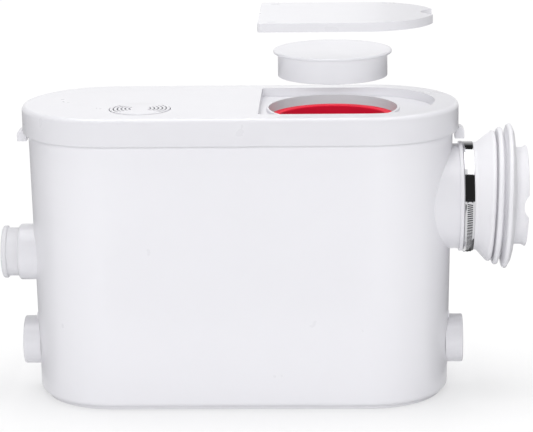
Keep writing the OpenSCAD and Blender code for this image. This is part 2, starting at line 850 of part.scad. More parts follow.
module impeller() {
    x = plate_end + volute_t + seal_ring_l;
    vane_l = volute_end - x - vane_gap;
    vane_start = shaft_r + disc_t;
    color(grey) difference() {
        union() {
            bar_x(impeller_r, x, disc_t, 0, shaft_z);
            bar_x(2 * shaft_r, x, vane_l, 0, shaft_z);
            translate([x, 0, shaft_z]) for (i = [0:vane_count - 1])
                rotate([360 * i / vane_count, 0, 0])
                    translate([0, vane_start, -shaft_r])
                        cube([vane_l, impeller_r - vane_start - disc_t, vane_t]);
        }
        bar_x(shaft_r + fit, x - over, volute_l, 0, shaft_z);
    }
}

// Two saddles on the tank's floor
module motor_cradle() {
    color(grey) difference() {
        union() {
            for (x = cradle_places)
                translate([x, -cradle_y, floor_z])
                    cube([cradle_w, 2 * cradle_y, shaft_z - motor_r / 2 - floor_z]);
            translate([cradle_places[0], -cradle_w, floor_z])
                cube([cradle_places[1] - cradle_places[0], 2 * cradle_w, motor_t * 2]);
        }
        bar_x(motor_r + fit, housing_x - over, motor_l + 2 * over, 0, shaft_z);
    }
}

module riser_pipe() {
    color(dark) translate([outlet_x, outlet_y, outlet_z]) tube_z(outlet_r, outlet_t, riser_h);
}

module valve_body() {
    color(grey) translate([outlet_x, outlet_y, valve_z]) difference() {
        cylinder(r = valve_r, h = valve_h);
        translate([0, 0, shelf_t]) cylinder(r = valve_r - valve_t, h = valve_h);
        translate([0, 0, -over]) cylinder(r = shelf_r, h = valve_h);
        translate([0, valve_hinge_y - outlet_y, valve_hinge_z - valve_z]) rotate([0, 90, 0])
            cylinder(r = pin_r + fit, h = valve_r + 2 * pin_r, center = true);
    }
}

module valve_flap() {
    color(dark) difference() {
        union() {
            translate([outlet_x, outlet_y, valve_z + shelf_t + gap]) cylinder(r = disc_r, h = flap_t);
            bar_x(hub_r, outlet_x - valve_hub_w / 2, valve_hub_w, valve_hinge_y, valve_hinge_z);
        }
        bar_x(pin_r + fit, outlet_x - disc_r, 2 * disc_r, valve_hinge_y, valve_hinge_z);
    }
}

module valve_pin() {
    l = valve_r + pin_r;
    color(steel) bar_x(pin_r, outlet_x - l / 2, l, valve_hinge_y, valve_hinge_z);
}

// Elbow from the valve through the back wall, with barbs for the discharge hose
module discharge_elbow() {
    wall = wall_r(elbow_z);
    end_y = wall + elbow_out;
    base = valve_z + valve_h;
    bore = outlet_r - outlet_t;
    ease = bore + bore_ease;
    mouth_y = wall + tank_wall + 2 * gap;
    color(grey) difference() {
        union() {
            translate([outlet_x, outlet_y, base]) cylinder(r = valve_r, h = outlet_t);
            translate([outlet_x, outlet_y, base]) cylinder(r = outlet_r, h = elbow_z - base);
            translate([outlet_x, outlet_y, elbow_z]) sphere(r = outlet_r);
            bar_y(outlet_r, outlet_y, end_y - outlet_y, outlet_x, elbow_z);
            for (i = [0:2])
                translate([outlet_x, end_y - i * 3 * outlet_t, elbow_z]) rotate([90, 0, 0])
                    cylinder(r1 = outlet_r, r2 = outlet_r + barb_r, h = outlet_t * 2);
        }
        translate([outlet_x, outlet_y, base - over])
            cylinder(r = ease, h = elbow_z - base + over);
        translate([outlet_x, outlet_y, elbow_z]) sphere(r = ease);
        bar_y(ease, outlet_y, mouth_y - outlet_y, outlet_x, elbow_z);
        bar_y(bore, outlet_y, end_y - outlet_y + over, outlet_x, elbow_z);
    }
}

module elbow_grommet() {
    wall = wall_r(elbow_z);
    color(dark) difference() {
        union() {
            bar_y(outlet_r + grommet_t - fit, wall - 2 * tank_wall, 3 * tank_wall, outlet_x, elbow_z);
            bar_y(outlet_r + grommet_t + grommet_lip, wall + gap, tank_wall, outlet_x, elbow_z);
        }
        bar_y(outlet_r + fit, wall - 4 * tank_wall, 9 * tank_wall, outlet_x, elbow_z);
    }
}

// Air bell with a dip tube: rising water squeezes its air against the membrane
module pressure_chamber() {
    color(grey) difference() {
        union() {
            translate([chamber_x, chamber_y, chamber_z]) cylinder(r = chamber_r, h = chamber_h);
            translate([chamber_x, dip_y, dip_z]) cylinder(r = dip_r, h = chamber_z - dip_z + chamber_t);
            translate([chamber_x, chamber_y - chamber_r, chamber_z])
                cube([box_x + box_l / 4 - chamber_x, chamber_t * 2, chamber_h / 2]);
            translate([box_x + box_l / 4 - 2 * chamber_t, box_y + box_d, chamber_z])
                cube([2 * chamber_t, chamber_y - chamber_r - box_y - box_d + chamber_t, chamber_h / 2]);
        }
        translate([chamber_x, chamber_y, chamber_z + chamber_t])
            cylinder(r = chamber_r - chamber_t, h = chamber_h);
        translate([chamber_x, dip_y, dip_z - over]) cylinder(r = dip_r - chamber_t, h = chamber_z);
    }
}

module membrane() {
    color(dark) translate([chamber_x, chamber_y, chamber_z + chamber_h])
        cylinder(r = chamber_r, h = membrane_t);
}

module pressure_switch() {
    z = chamber_z + chamber_h + membrane_t;
    color(grey) difference() {
        union() {
            translate([chamber_x, chamber_y, z]) cylinder(r = chamber_r, h = chamber_t);
            translate([chamber_x - switch_w / 2, chamber_y - switch_d / 2, z])
                cube([switch_w, switch_d, switch_h]);
        }
        translate([chamber_x, chamber_y, z - over])
            cylinder(r = plunger_r + fit, h = plunger_l + 2 * over + chamber_t);
    }
}

module switch_plunger() {
    z = chamber_z + chamber_h + membrane_t;
    color(red) translate([chamber_x, chamber_y, z + gap]) cylinder(r = plunger_r, h = plunger_l);
}

// Watertight box on two feet that straddle the motor
module control_box() {
    color(grey) difference() {
        union() {
            translate([box_x, box_y, box_z]) cube([box_l, box_d, box_h]);
            for (x = [box_x, housing_end - 2 * box_foot_w])
                translate([x, -box_d / 2, shaft_z + motor_r / 2])
                    cube([box_foot_w, box_d / 2, box_z - shaft_z - motor_r / 2]);
        }
        difference() {
            translate([box_x + box_t, box_y + box_t, box_z + box_t])
                cube([box_l - 2 * box_t, box_d - 2 * box_t, box_h]);
            box_corners() translate([0, 0, -box_h]) cylinder(r = screw_head_r, h = box_h);
        }
        box_corners() translate([0, 0, box_lid_t - screw_l]) cylinder(r = screw_r + fit, h = screw_l);
        bar_x(motor_r + fit, housing_x - over, motor_l + 2 * over, 0, shaft_z);
    }
}

module box_lid() {
    color(grey) difference() {
        translate([box_x, box_y, box_z + box_h]) cube([box_l, box_d, box_lid_t]);
        box_corners() translate([0, 0, -over]) cylinder(r = screw_r + fit, h = 2 * over + box_lid_t);
    }
}

module box_corners() {
    i = screw_head_r + over;
    for (x = [box_x + i, box_x + box_l - i], y = [box_y + i, box_y + box_d - i])
        translate([x, y, box_z + box_h]) children();
}

module capacitor() {
    color(dark) bar_x(cap_r, box_x + box_t + cap_inset, cap_l, box_y + box_t + cap_r, box_z + box_t + cap_r);
}

module control_board() {
    color([0.1, 0.4, 0.25]) translate([box_x + box_t, box_y + box_t + 2 * cap_r + board_gap, box_z + box_t])
        cube([box_l - 2 * box_t, board_t, box_h - 2 * box_t]);
}

module box_screws() {
    color(steel) box_corners() {
        translate([0, 0, box_lid_t]) cylinder(r = screw_head_r, h = screw_head_h);
        translate([0, 0, box_lid_t - screw_l]) cylinder(r = screw_r, h = screw_l);
    }
}

// Screws that hold the pump casing's cover
module motor_screws() {
    color(steel) screw_ring() {
        bar_x(screw_r, 0, screw_l);
        bar_x(screw_head_r, screw_l, screw_head_h);
    }
}

module cable_gland() {
    y = wall_r(gland_z);
    color(dark) difference() {
        union() {
            bar_y(gland_r, y - 4 * tank_wall, 5 * tank_wall, gland_x, gland_z);
            translate([gland_x, y + tank_wall / 2, gland_z]) rotate([-90, 0, 0])
                cylinder(r = gland_nut_r, h = 2 * tank_wall, $fn = 6);
            bar_y(gland_r, y + 2 * tank_wall, 3 * tank_wall, gland_x, gland_z);
        }
        bar_y(gland_r / 2, y - 5 * tank_wall, 12 * tank_wall, gland_x, gland_z);
        bar_y(gland_r / 2 + bore_ease, y - 5 * tank_wall, 5 * tank_wall + 2 * gap, gland_x, gland_z);
    }
}

module gland_nut() {
    y = wall_r(gland_z) - 3 * tank_wall;
    color(dark) difference() {
        translate([gland_x, y, gland_z]) rotate([-90, 0, 0])
            cylinder(r = gland_nut_r, h = 1.8 * tank_wall, $fn = 6);
        bar_y(gland_r + fit, y - over, 3 * tank_wall, gland_x, gland_z);
    }
}

tank();
lid();
base_pad();
lid_gasket();
lid_clips();
access_cover();
access_plug();
access_seal();
vent_grille();
filter_cup();
carbon_filter();
inlet_coupling();
clamp_band();
clamp_housing();
clamp_screw();
basin_sleeve();
left_low_port();
right_low_port();
left_flap();
right_flap();
flap_pins();
inlet_chute();
basket();
cutter();
shaft();
rotor();
stator();
windings();
motor_housing();
motor_plate();
rear_bearing();
front_bearing();
shaft_seal();
volute();
volute_cover();
impeller();
motor_cradle();
riser_pipe();
valve_body();
valve_flap();
valve_pin();
discharge_elbow();
elbow_grommet();
pressure_chamber();
membrane();
pressure_switch();
switch_plunger();
control_box();
box_lid();
capacitor();
control_board();
box_screws();
motor_screws();
cable_gland();
gland_nut();
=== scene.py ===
import math

import bmesh
import bpy
from mathutils import Matrix, Quaternion, Vector


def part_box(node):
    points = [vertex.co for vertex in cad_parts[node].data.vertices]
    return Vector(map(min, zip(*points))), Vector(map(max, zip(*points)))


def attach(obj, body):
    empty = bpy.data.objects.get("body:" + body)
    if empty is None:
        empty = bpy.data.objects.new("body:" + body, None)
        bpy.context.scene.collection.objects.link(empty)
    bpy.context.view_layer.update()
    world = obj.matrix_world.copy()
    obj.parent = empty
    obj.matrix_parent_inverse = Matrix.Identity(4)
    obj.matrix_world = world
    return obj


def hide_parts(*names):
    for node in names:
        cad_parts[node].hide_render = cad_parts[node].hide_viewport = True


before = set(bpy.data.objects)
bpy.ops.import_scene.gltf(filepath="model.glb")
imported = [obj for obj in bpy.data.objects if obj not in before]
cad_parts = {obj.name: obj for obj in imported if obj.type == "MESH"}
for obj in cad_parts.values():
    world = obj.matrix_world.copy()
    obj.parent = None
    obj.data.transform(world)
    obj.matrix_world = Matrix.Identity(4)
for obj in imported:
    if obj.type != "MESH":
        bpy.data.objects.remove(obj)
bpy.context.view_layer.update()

# The product stands on a white studio floor. A large softbox hangs over it, a second one fills
# it from the front and a weak one from behind. The long lens looks slightly down at its front.
scene = bpy.context.scene
scene.view_settings.view_transform = "Standard"

camera = bpy.data.objects.new("camera", bpy.data.cameras.new("camera"))
scene.collection.objects.link(camera)
scene.camera = camera
camera.data.sensor_width = 36
camera.data.lens = 155.3
camera.data.clip_end = 60
sight = Vector((-0.03186, 0.9707, -0.2380))
camera_roll = math.radians(-0.76)
camera.location = (0.0892, -2.0275, 0.6592)
camera.rotation_euler = (sight.to_track_quat("-Z", "Y") @ Quaternion((0, 0, 1), camera_roll)).to_euler()

world = bpy.data.worlds.new("studio")
scene.world = world
world.use_nodes = True
sky = world.node_tree
sky.nodes.clear()
room_light = 0.37
ambient = sky.nodes.new("ShaderNodeBackground")
ambient.inputs["Color"].default_value = (0.985, 0.985, 1, 1)
ambient.inputs["Strength"].default_value = room_light
backdrop = sky.nodes.new("ShaderNodeBackground")
backdrop.inputs["Color"].default_value = (1, 1, 1, 1)


def seen_directly(tree):
    """A factor that is 1 for rays from the camera, a mirror or a clear part, and 0 for the rest."""
    path = tree.nodes.new("ShaderNodeLightPath")
    total = path.outputs["Is Camera Ray"]
    for name in ("Is Glossy Ray", "Is Transmission Ray"):
        either = tree.nodes.new("ShaderNodeMath")
        either.operation = "MAXIMUM"
        tree.links.new(total, either.inputs[0])
        tree.links.new(path.outputs[name], either.inputs[1])
        total = either.outputs[0]
    return total


shown = sky.nodes.new("ShaderNodeMixShader")
sky.links.new(seen_directly(sky), shown.inputs[0])
sky.links.new(ambient.outputs[0], shown.inputs[1])
sky.links.new(backdrop.outputs[0], shown.inputs[2])
sky_output = sky.nodes.new("ShaderNodeOutputWorld")
sky.links.new(shown.outputs[0], sky_output.inputs["Surface"])

box_tall = 1.4


def softbox(name, place, aim, wide, watts, in_gloss):
    """A rectangular lamp at a place, turned towards a height over the middle of the floor.
    in_gloss says whether it also shows in the gloss of the product."""
    lamp = bpy.data.lights.new(name, "AREA")
    lamp.shape = "RECTANGLE"
    lamp.size = wide
    lamp.size_y = box_tall
    lamp.energy = watts
    box = bpy.data.objects.new(name, lamp)
    box.location = place
    box.rotation_euler = (Vector((0, 0, aim)) - Vector(place)).to_track_quat("-Z", "Y").to_euler()
    box.visible_glossy = in_gloss
    scene.collection.objects.link(box)


softbox("softbox_above", (0, 0.1, 1.9), aim=0.2, wide=2.0, watts=22, in_gloss=True)
softbox("softbox_front", (-0.14, -2.7, 1.1), aim=0.15, wide=1.6, watts=40, in_gloss=False)
softbox("softbox_back", (0.3, 2.6, 1.5), aim=0.15, wide=1.6, watts=13, in_gloss=False)


def make_object(name, build, *args, **words):
    """An object at the origin. build draws its form into a new mesh."""
    bm = bmesh.new()
    build(bm, *args, **words)
    mesh = bpy.data.meshes.new(name)
    bm.to_mesh(mesh)
    bm.free()
    piece = bpy.data.objects.new(name, mesh)
    scene.collection.objects.link(piece)
    return piece


def flat_face(bm, corners):
    """One face between four corners."""
    bm.faces.new([bm.verts.new(corner) for corner in corners])


def stage_sheet(name, corners):
    """A flat sheet of the set, from its four corners; returns it with its material's nodes."""
    sheet = make_object(name, flat_face, corners)
    material = bpy.data.materials.new(name)
    material.use_nodes = True
    sheet.data.materials.append(material)
    return sheet, material.node_tree


def own_place(tree):
    """A point's place in the coordinates of its own object."""
    return tree.nodes.new("ShaderNodeTexCoord").outputs["Object"]


def map_range(tree, value, *limits):
    """Rescales a value. The limits are the two it comes from and the two it goes to."""
    scale = tree.nodes.new("ShaderNodeMapRange")
    for name, number in zip(("From Min", "From Max", "To Min", "To Max"), limits):
        scale.inputs[name].default_value = number
    tree.links.new(value, scale.inputs["Value"])
    return scale.outputs["Result"]


floor_reach = 14
floor_tree = stage_sheet("floor", [
    (-floor_reach, -floor_reach, 0), (floor_reach, -floor_reach, 0),
    (floor_reach, floor_reach, 0), (-floor_reach, floor_reach, 0)])[1]
floor_paint = floor_tree.nodes["Principled BSDF"]
floor_paint.inputs["Base Color"].default_value = (0.9, 0.9, 0.91, 1)
floor_paint.inputs["Roughness"].default_value = 0.5
floor_paint.inputs["Specular IOR Level"].default_value = 0.2
floor_glow = floor_tree.nodes.new("ShaderNodeEmission")
floor_glow.inputs["Color"].default_value = (1, 1, 1, 1)
floor_glow.inputs["Strength"].default_value = 1.03
spread = floor_tree.nodes.new("ShaderNodeMapping")
spread.inputs["Scale"].default_value = (0.62, 1.25, 1)
floor_tree.links.new(own_place(floor_tree), spread.inputs["Vector"])
reach = floor_tree.nodes.new("ShaderNodeVectorMath")
reach.operation = "LENGTH"
floor_tree.links.new(spread.outputs["Vector"], reach.inputs[0])
shade_near, shade_far, white_near, white_far = 0.125, 0.27, 0.48, 0.985
white_share = map_range(floor_tree, reach.outputs["Value"], shade_near, shade_far, white_near, white_far)
floor_factor = floor_tree.nodes.new("ShaderNodeMath")
floor_factor.operation = "MULTIPLY"
floor_tree.links.new(seen_directly(floor_tree), floor_factor.inputs[0])
floor_tree.links.new(white_share, floor_factor.inputs[1])
floor_mix = floor_tree.nodes.new("ShaderNodeMixShader")
floor_tree.links.new(floor_factor.outputs[0], floor_mix.inputs[0])
floor_tree.links.new(floor_paint.outputs[0], floor_mix.inputs[1])
floor_tree.links.new(floor_glow.outputs[0], floor_mix.inputs[2])
floor_tree.links.new(floor_mix.outputs[0], floor_tree.nodes["Material Output"].inputs["Surface"])

# The dark side of the room, which only shows as a reflection in polished steel. It has no
# effect on the light that falls on the product.
flag_near, flag_low, flag_high, flag_half = -3.0, 0.2, 5.0, 3.5
flag, flag_tree = stage_sheet("dark_flag", [
    (-flag_half, flag_near, flag_low), (flag_half, flag_near, flag_low),
    (flag_half, flag_near, flag_high), (-flag_half, flag_near, flag_high)])


def mirror_only(sheet, tree, brightness):
    """Leaves a sheet of the set to be seen in reflections alone, at one brightness."""
    sheet.visible_camera = False
    sheet.visible_diffuse = False
    sheet.visible_shadow = False
    sheet.visible_transmission = False
    paint = tree.nodes["Principled BSDF"]
    paint.inputs["Base Color"].default_value = (0, 0, 0, 1)
    paint.inputs["Specular IOR Level"].default_value = 0
    paint.inputs["Emission Color"].default_value = (1, 1, 1, 1)
    paint.inputs["Emission Strength"].default_value = brightness


mirror_only(flag, flag_tree, brightness=0.027)

# Grey paper on the floor in front and at both sides. It shows in the gloss of the tank alone, where
# it takes the white floor out of the flat front and the turned ends.
paper_high = 0.0005
for name, left, right, front, back, brightness in (
        ("front_paper", -0.19, 0.14, -2.2, -0.3, 0.25), ("left_paper", -1.6, -0.215, -0.04, 1.6, 0.35),
        ("right_paper", 0.215, 1.6, -0.04, 1.6, 0.15)):
    paper, paper_tree = stage_sheet(name, [(left, front, paper_high), (right, front, paper_high),
                                           (right, back, paper_high), (left, back, paper_high)])
    mirror_only(paper, paper_tree, brightness)

# Two narrow cards over and behind the pan coupling, for the bright and the shaded stretch in the
# polish of its clamp. The upright one is bright at its foot and fades to the top.
strip_left, strip_right, strip_high = 0.16, 0.62, 1.86
strip_front, strip_back, card_back, card_top = -1.05, 1.22, 1.9, 2.8
strip, strip_tree = stage_sheet("strip_card", [
    (strip_left, strip_front, strip_high), (strip_right, strip_front, strip_high),
    (strip_right, strip_back, strip_high), (strip_left, strip_back, strip_high)])
mirror_only(strip, strip_tree, brightness=2)
card, card_tree = stage_sheet("shade_card", [
    (strip_left, card_back, 0), (strip_right, card_back, 0),
    (strip_right, card_back, card_top), (strip_left, card_back, card_top)])
mirror_only(card, card_tree, brightness=1)
card_place = card_tree.nodes.new("ShaderNodeSeparateXYZ")
card_tree.links.new(own_place(card_tree), card_place.inputs["Vector"])
fade_low, fade_high, card_bright, card_dim = 0.2, 1.6, 0.85, 0.02
card_tree.links.new(map_range(card_tree, card_place.outputs["Z"], fade_low, fade_high, card_bright, card_dim),
                    card_tree.nodes["Principled BSDF"].inputs["Emission Strength"])

# The tank. One injection moulding in glossy white ABS, drawn in towards its base so that it
# leaves the mould, with the necks for the pipes moulded on and their seats and ears inside.
tank_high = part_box("tank")[1]
lid_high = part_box("lid")[1]
pad_low, pad_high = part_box("base_pad")
run_x = lid_high.x - lid_high.y
tank_base, tank_rim = pad_high.z, tank_high.z
wall = 0.003
rim_radius, base_radius, base_round = 0.0762, 0.072, 0.0055
overrun = 0.001
merge_gap = 1e-6


def arc(centre_a, centre_b, radius, start, end, steps=8):
    """Points of a round stretch of an outline, between two angles in degrees."""
    turns = [math.radians(start + (end - start) * i / steps) for i in range(steps + 1)]
    return [(centre_a + radius * math.cos(t), centre_b + radius * math.sin(t)) for t in turns]


def draw_wire(bm, points, closed=True):
    """A line of edges through points; returns its points and edges."""
    verts = [bm.verts.new(point) for point in points]
    pairs = list(zip(verts, verts[1:])) + ([(verts[-1], verts[0])] if closed else [])
    return verts + [bm.edges.new(pair) for pair in pairs]


def close_up(bm, merge=False, cap=False):
    """Turns every face outwards. Before that it merges doubled points or caps what is open."""
    if merge:
        bmesh.ops.remove_doubles(bm, verts=bm.verts[:], dist=merge_gap)
    if cap:
        bmesh.ops.holes_fill(bm, edges=[e for e in bm.edges if e.is_boundary], sides=0)
    bmesh.ops.recalc_face_normals(bm, faces=bm.faces[:])


def everything(bm):
    """All points, edges and faces of a mesh."""
    return bm.verts[:] + bm.edges[:] + bm.faces[:]


def sweep_plan(bm, outline, steps=97):
    """Carries an open outline of (radius, height) points round the tank's plan: a half turn at
    each end and a straight run along each side. It is capped where it ends."""
    wire = draw_wire(bm, [(run_x, -radius, height) for radius, height in outline], closed=False)
    for side in (1, -1):
        wire = bmesh.ops.spin(bm, geom=wire, cent=(side * run_x, 0, 0), axis=(0, 0, 1), angle=math.pi,
                              steps=steps, use_merge=False, use_duplicate=False)["geom_last"]
        edges = [e for e in wire if isinstance(e, bmesh.types.BMEdge)]
        run = bmesh.ops.extrude_edge_only(bm, edges=edges)["geom"]
        moved = {v for v in run if isinstance(v, bmesh.types.BMVert)}
        bmesh.ops.translate(bm, verts=list(moved), vec=(-2 * side * run_x, 0, 0))
        wire = list(moved) + [e for e in run if isinstance(e, bmesh.types.BMEdge) and moved >= set(e.verts)]
    close_up(bm, merge=True, cap=True)


def turn(bm, outline, centre, axis, closed=True, steps=128, start=0.007):
    """Turns an outline of (radius, distance along the axis) points round X, Y or Z. It starts at
    a small angle, so that no row of points lies in the plane of a flat face that it meets."""
    sine, cosine = math.sin(start), math.cos(start)
    along, out = {"X": (Vector((1, 0, 0)), Vector((0, -sine, cosine))),
                  "Y": (Vector((0, 1, 0)), Vector((-sine, 0, cosine))),
                  "Z": (Vector((0, 0, 1)), Vector((cosine, sine, 0)))}[axis]
    points = [Vector(centre) + radius * out + place * along for radius, place in outline]
    bmesh.ops.spin(bm, geom=draw_wire(bm, points, closed), cent=centre, axis=along, angle=2 * math.pi,
                   steps=steps, use_merge=True, use_duplicate=False)
    close_up(bm, merge=True)


def block(bm, low, high):
    """A box between two corners; returns its points."""
    low, high = Vector(low), Vector(high)
    verts = bmesh.ops.create_cube(bm, size=1)["verts"]
    bmesh.ops.scale(bm, verts=verts, vec=high - low)
    bmesh.ops.translate(bm, verts=verts, vec=(low + high) / 2)
    return verts


def rod(bm, radius, start, end, centre, axis, soft=0.0, steps=128):
    """A solid turned round an axis, from start to end along it, with rounded ends."""
    if soft:
        outline = ([(0, start)] + arc(radius - soft, start + soft, soft, -90, 0, 4)
                   + arc(radius - soft, end - soft, soft, 0, 90, 4) + [(0, end)])
    else:
        outline = [(0, start), (radius, start), (radius, end), (0, end)]
    turn(bm, outline, centre, axis, closed=False, steps=steps)


def combine(piece, operation, build, args, words):
    """Joins or cuts a piece with another form, which build draws into a new mesh."""
    other = make_object("tool", build, *args, **words)
    step = piece.modifiers.new("combine", "BOOLEAN")
    step.solver = "MANIFOLD"
    step.operation = operation
    step.object = other
    bpy.context.view_layer.update()
    seen = piece.evaluated_get(bpy.context.evaluated_depsgraph_get())
    mesh = bpy.data.meshes.new_from_object(seen)
    piece.modifiers.clear()
    piece.data = mesh
    bpy.data.objects.remove(other)


def join(piece, build, *args, **words):
    """Joins another form to a piece."""
    combine(piece, "UNION", build, args, words)


def cut(piece, build, *args, **words):
    """Cuts another form out of a piece."""
    combine(piece, "DIFFERENCE", build, args, words)


def finish_piece(piece, body, material, replaced=(), edge=0, angle=32, segments=3):
    """Rounds a piece's edges, shades it smooth, gives it its material and its body, and hides the pieces
    of the drawing that it stands for."""
    piece.data.materials.clear()
    piece.data.materials.append(material)
    piece.data.shade_smooth()
    piece.data.set_sharp_from_angle(angle=math.radians(angle))
    if edge:
        rounding = piece.modifiers.new("rounding", "BEVEL")
        rounding.width = edge
        rounding.segments = segments
        rounding.limit_method = "ANGLE"
        rounding.angle_limit = math.radians(angle)
        rounding.harden_normals = True
    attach(piece, body)
    if replaced:
        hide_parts(*replaced)


def noise(tree, scale, detail=2):
    """A noise pattern on the piece's own coordinates, in cycles per metre."""
    pattern = tree.nodes.new("ShaderNodeTexNoise")
    pattern.inputs["Scale"].default_value = scale
    pattern.inputs["Detail"].default_value = detail
    pattern.inputs["Roughness"].default_value = 0.5
    tree.links.new(own_place(tree), pattern.inputs["Vector"])
    return pattern.outputs["Fac"]


def ramp(tree, value, low, high):
    """Turns a pattern into a colour or a level between two given ones."""
    low_at, high_at = 0.25, 0.75
    if isinstance(low, float):
        return map_range(tree, value, low_at, high_at, low, high)
    scale = tree.nodes.new("ShaderNodeValToRGB")
    first, last = scale.color_ramp.elements
    first.position, last.position = low_at, high_at
    first.color, last.color = (*low, 1), (*high, 1)
    tree.links.new(value, scale.inputs["Fac"])
    return scale.outputs["Color"]


def relief(tree, value, depth):
    """A bump from a pattern, depth in metres."""
    bump = tree.nodes.new("ShaderNodeBump")
    bump.inputs["Distance"].default_value = depth
    bump.inputs["Strength"].default_value = 1
    tree.links.new(value, bump.inputs["Height"])
    return bump.outputs["Normal"]


def finish_material(name, colour, roughness, tone=0.02, blotch=14, grain=1400, depth=0.00001,
                    metallic=0.0, specular=0.5, wear=0.03):
    """A moulded, cast or drawn surface: slow changes of tone, a fine grain in its relief and an
    uneven polish."""
    material = bpy.data.materials.new(name)
    material.use_nodes = True
    tree = material.node_tree
    shader = tree.nodes["Principled BSDF"]
    shader.inputs["Metallic"].default_value = metallic
    shader.inputs["Specular IOR Level"].default_value = specular
    darker = [channel * (1 - tone) for channel in colour]
    lighter = [min(1, channel * (1 + tone)) for channel in colour]
    tree.links.new(ramp(tree, noise(tree, blotch, 3), darker, lighter), shader.inputs["Base Color"])
    tree.links.new(ramp(tree, noise(tree, blotch * 3, 3), roughness - wear, roughness + wear),
                   shader.inputs["Roughness"])
    tree.links.new(relief(tree, noise(tree, grain), depth), shader.inputs["Normal"])
    return material


def moulded_white(name, colour):
    """Glossy ABS in a given white. The tank's white is its own colour; the darker copies for the necks and
    for the lid's pieces are painted shade.
    """
    material = finish_material(name, colour, 0.3, tone=0.006, depth=0.000006)
    shader = material.node_tree.nodes["Principled BSDF"]
    shader.inputs["Coat Weight"].default_value = 0.15
    shader.inputs["Coat Roughness"].default_value = 0.12
    return material


def middle(name, axis):
    """The middle of a piece of the drawing, along x, y or z."""
    low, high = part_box(name)
    return (getattr(low, axis) + getattr(high, axis)) / 2


def span(side, near, far):
    """Two distances from the middle of the tank as places in order, to the right or the left."""
    return sorted((side * near, side * far))


def wall_radius(height):
    """Outer radius of the tank's wall at a height over the floor."""
    return base_radius + (rim_radius - base_radius) * (height - tank_base) / (tank_rim - tank_base)


white_plastic = moulded_white("white_plastic", (0.8, 0.796, 0.825))
shaded_neck_white = moulded_white("shaded_neck_white", (0.715, 0.711, 0.74))
tank = make_object("tank", sweep_plan, [
    *arc(base_radius - base_round, tank_base + base_round, base_round, -90, 0, 8), (rim_radius, tank_rim)])

neck_root = run_x + 0.04
collar_radius, collar_rim_radius, spigot_radius, inlet_bore = 0.0475, 0.0497, 0.046, 0.040
collar_end, spigot_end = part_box("inlet_chute")[1].x, tank_high.x
collar_rim_end = collar_end + wall
inlet_z = middle("inlet_coupling", "z")
pan_axis = (0, 0, inlet_z)
join(tank, turn, [(0, neck_root), (collar_radius, neck_root), (collar_radius, collar_end),
                  (collar_rim_radius, collar_end), (collar_rim_radius, collar_rim_end),
                  (spigot_radius, collar_rim_end), (spigot_radius, spigot_end), (0, spigot_end)],
     pan_axis, "X", closed=False)

port_low, port_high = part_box("right_low_port")
low_radius, low_bore, low_eye, low_plug = port_high.y, 0.0195, 0.0187, 0.0212
boss_end, low_end = port_low.x, port_high.x
low_axis = (0, 0, middle("right_low_port", "z"))
for side in (1, -1):
    join(tank, rod, low_plug, *span(side, neck_root, boss_end), low_axis, "X")

sleeve_low, sleeve_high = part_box("basin_sleeve")
basin_radius, basin_bore, sleeve_proud = 0.0255, 0.02205, 0.015
basin_end, bore_end = -sleeve_low.x - sleeve_proud, neck_root + 0.02
basin_axis = (0, 0, middle("basin_sleeve", "z"))
join(tank, rod, basin_radius, -basin_end, -neck_root, basin_axis, "X", soft=0.0025)


def cavity(bm):
    """The inside of the tank, up through its open rim."""
    inner = base_radius - wall
    low = tank_base + wall
    sweep_plan(bm, [*arc(inner - wall, low + wall, wall, -90, 0, 4),
                    (rim_radius - wall, tank_rim), (rim_radius - wall, tank_rim + overrun)])


cut(tank, cavity)
flap_low, flap_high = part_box("right_flap")
flap_gap, seat_long = 0.0003, 0.0048
seat_x = flap_high.x + flap_gap
hinge_z = middle("flap_pins", "z")
ear_thick, ear_front, ear_back = 0.002, 0.0008, 0.008
hub_half, hub_radius = 0.008, flap_high.z - hinge_z
eye_reach = 0.05
for side in (1, -1):
    root, end = span(side, seat_x, seat_x + seat_long)
    join(tank, rod, low_radius, root, end, low_axis, "X")
    left, right = span(side, flap_low.x - ear_front, seat_x + ear_back)
    for ear in (1, -1):
        front, back = span(ear, hub_half + flap_gap, hub_half + flap_gap + ear_thick)
        join(tank, block, (left, front, low_axis[2] + low_radius + flap_gap),
             (right, back, hinge_z + hub_radius))
    cut(tank, rod, low_eye, root - eye_reach, end + eye_reach, low_axis, "X")
cut(tank, rod, inlet_bore, neck_root, spigot_end + overrun, pan_axis, "X")
cut(tank, rod, basin_bore, -basin_end - overrun, -bore_end, basin_axis, "X")

elbow_low, elbow_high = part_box("discharge_elbow")
outlet_radius, barb = 0.014, 0.0016
elbow_x, elbow_z = middle("discharge_elbow", "x"), elbow_high.z - (outlet_radius + barb)
gland_low, gland_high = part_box("cable_gland")
gland_x, gland_z = middle("cable_gland", "x"), middle("cable_gland", "z")
elbow_axis, gland_axis = (elbow_x, 0, elbow_z), (gland_x, 0, gland_z)
elbow_hole, gland_hole, back_near, back_far = 0.0165, 0.00905, 0.06, 0.09
cut(tank, rod, elbow_hole, back_near, back_far, elbow_axis, "Y")
cut(tank, rod, gland_hole, back_near, back_far, gland_axis, "Y")
finish_piece(tank, "casing", white_plastic, ["tank"], edge=0.0008)
# The faces that stand out beyond the wall, the necks at the ends, take a darker copy of the same white:
# painted shade for the light that falls off towards the tank's ends.
tank.data.materials.append(shaded_neck_white)
wall_skin = 0.0002
for face in tank.data.polygons:
    beyond = math.hypot(max(0, abs(face.center.x) - run_x), face.center.y) - wall_radius(face.center.z)
    if beyond > wall_skin:
        face.material_index = 1

# The low inlets. Short white sockets pushed over the tank's bosses, one at each end, for the
# waste pipes of a shower or bath.
push_gap = 0.00005


def tank_form(bm):
    """The outside of the tank, with a sharp edge at its base."""
    sweep_plan(bm, [(base_radius, tank_base), (rim_radius, tank_rim)])


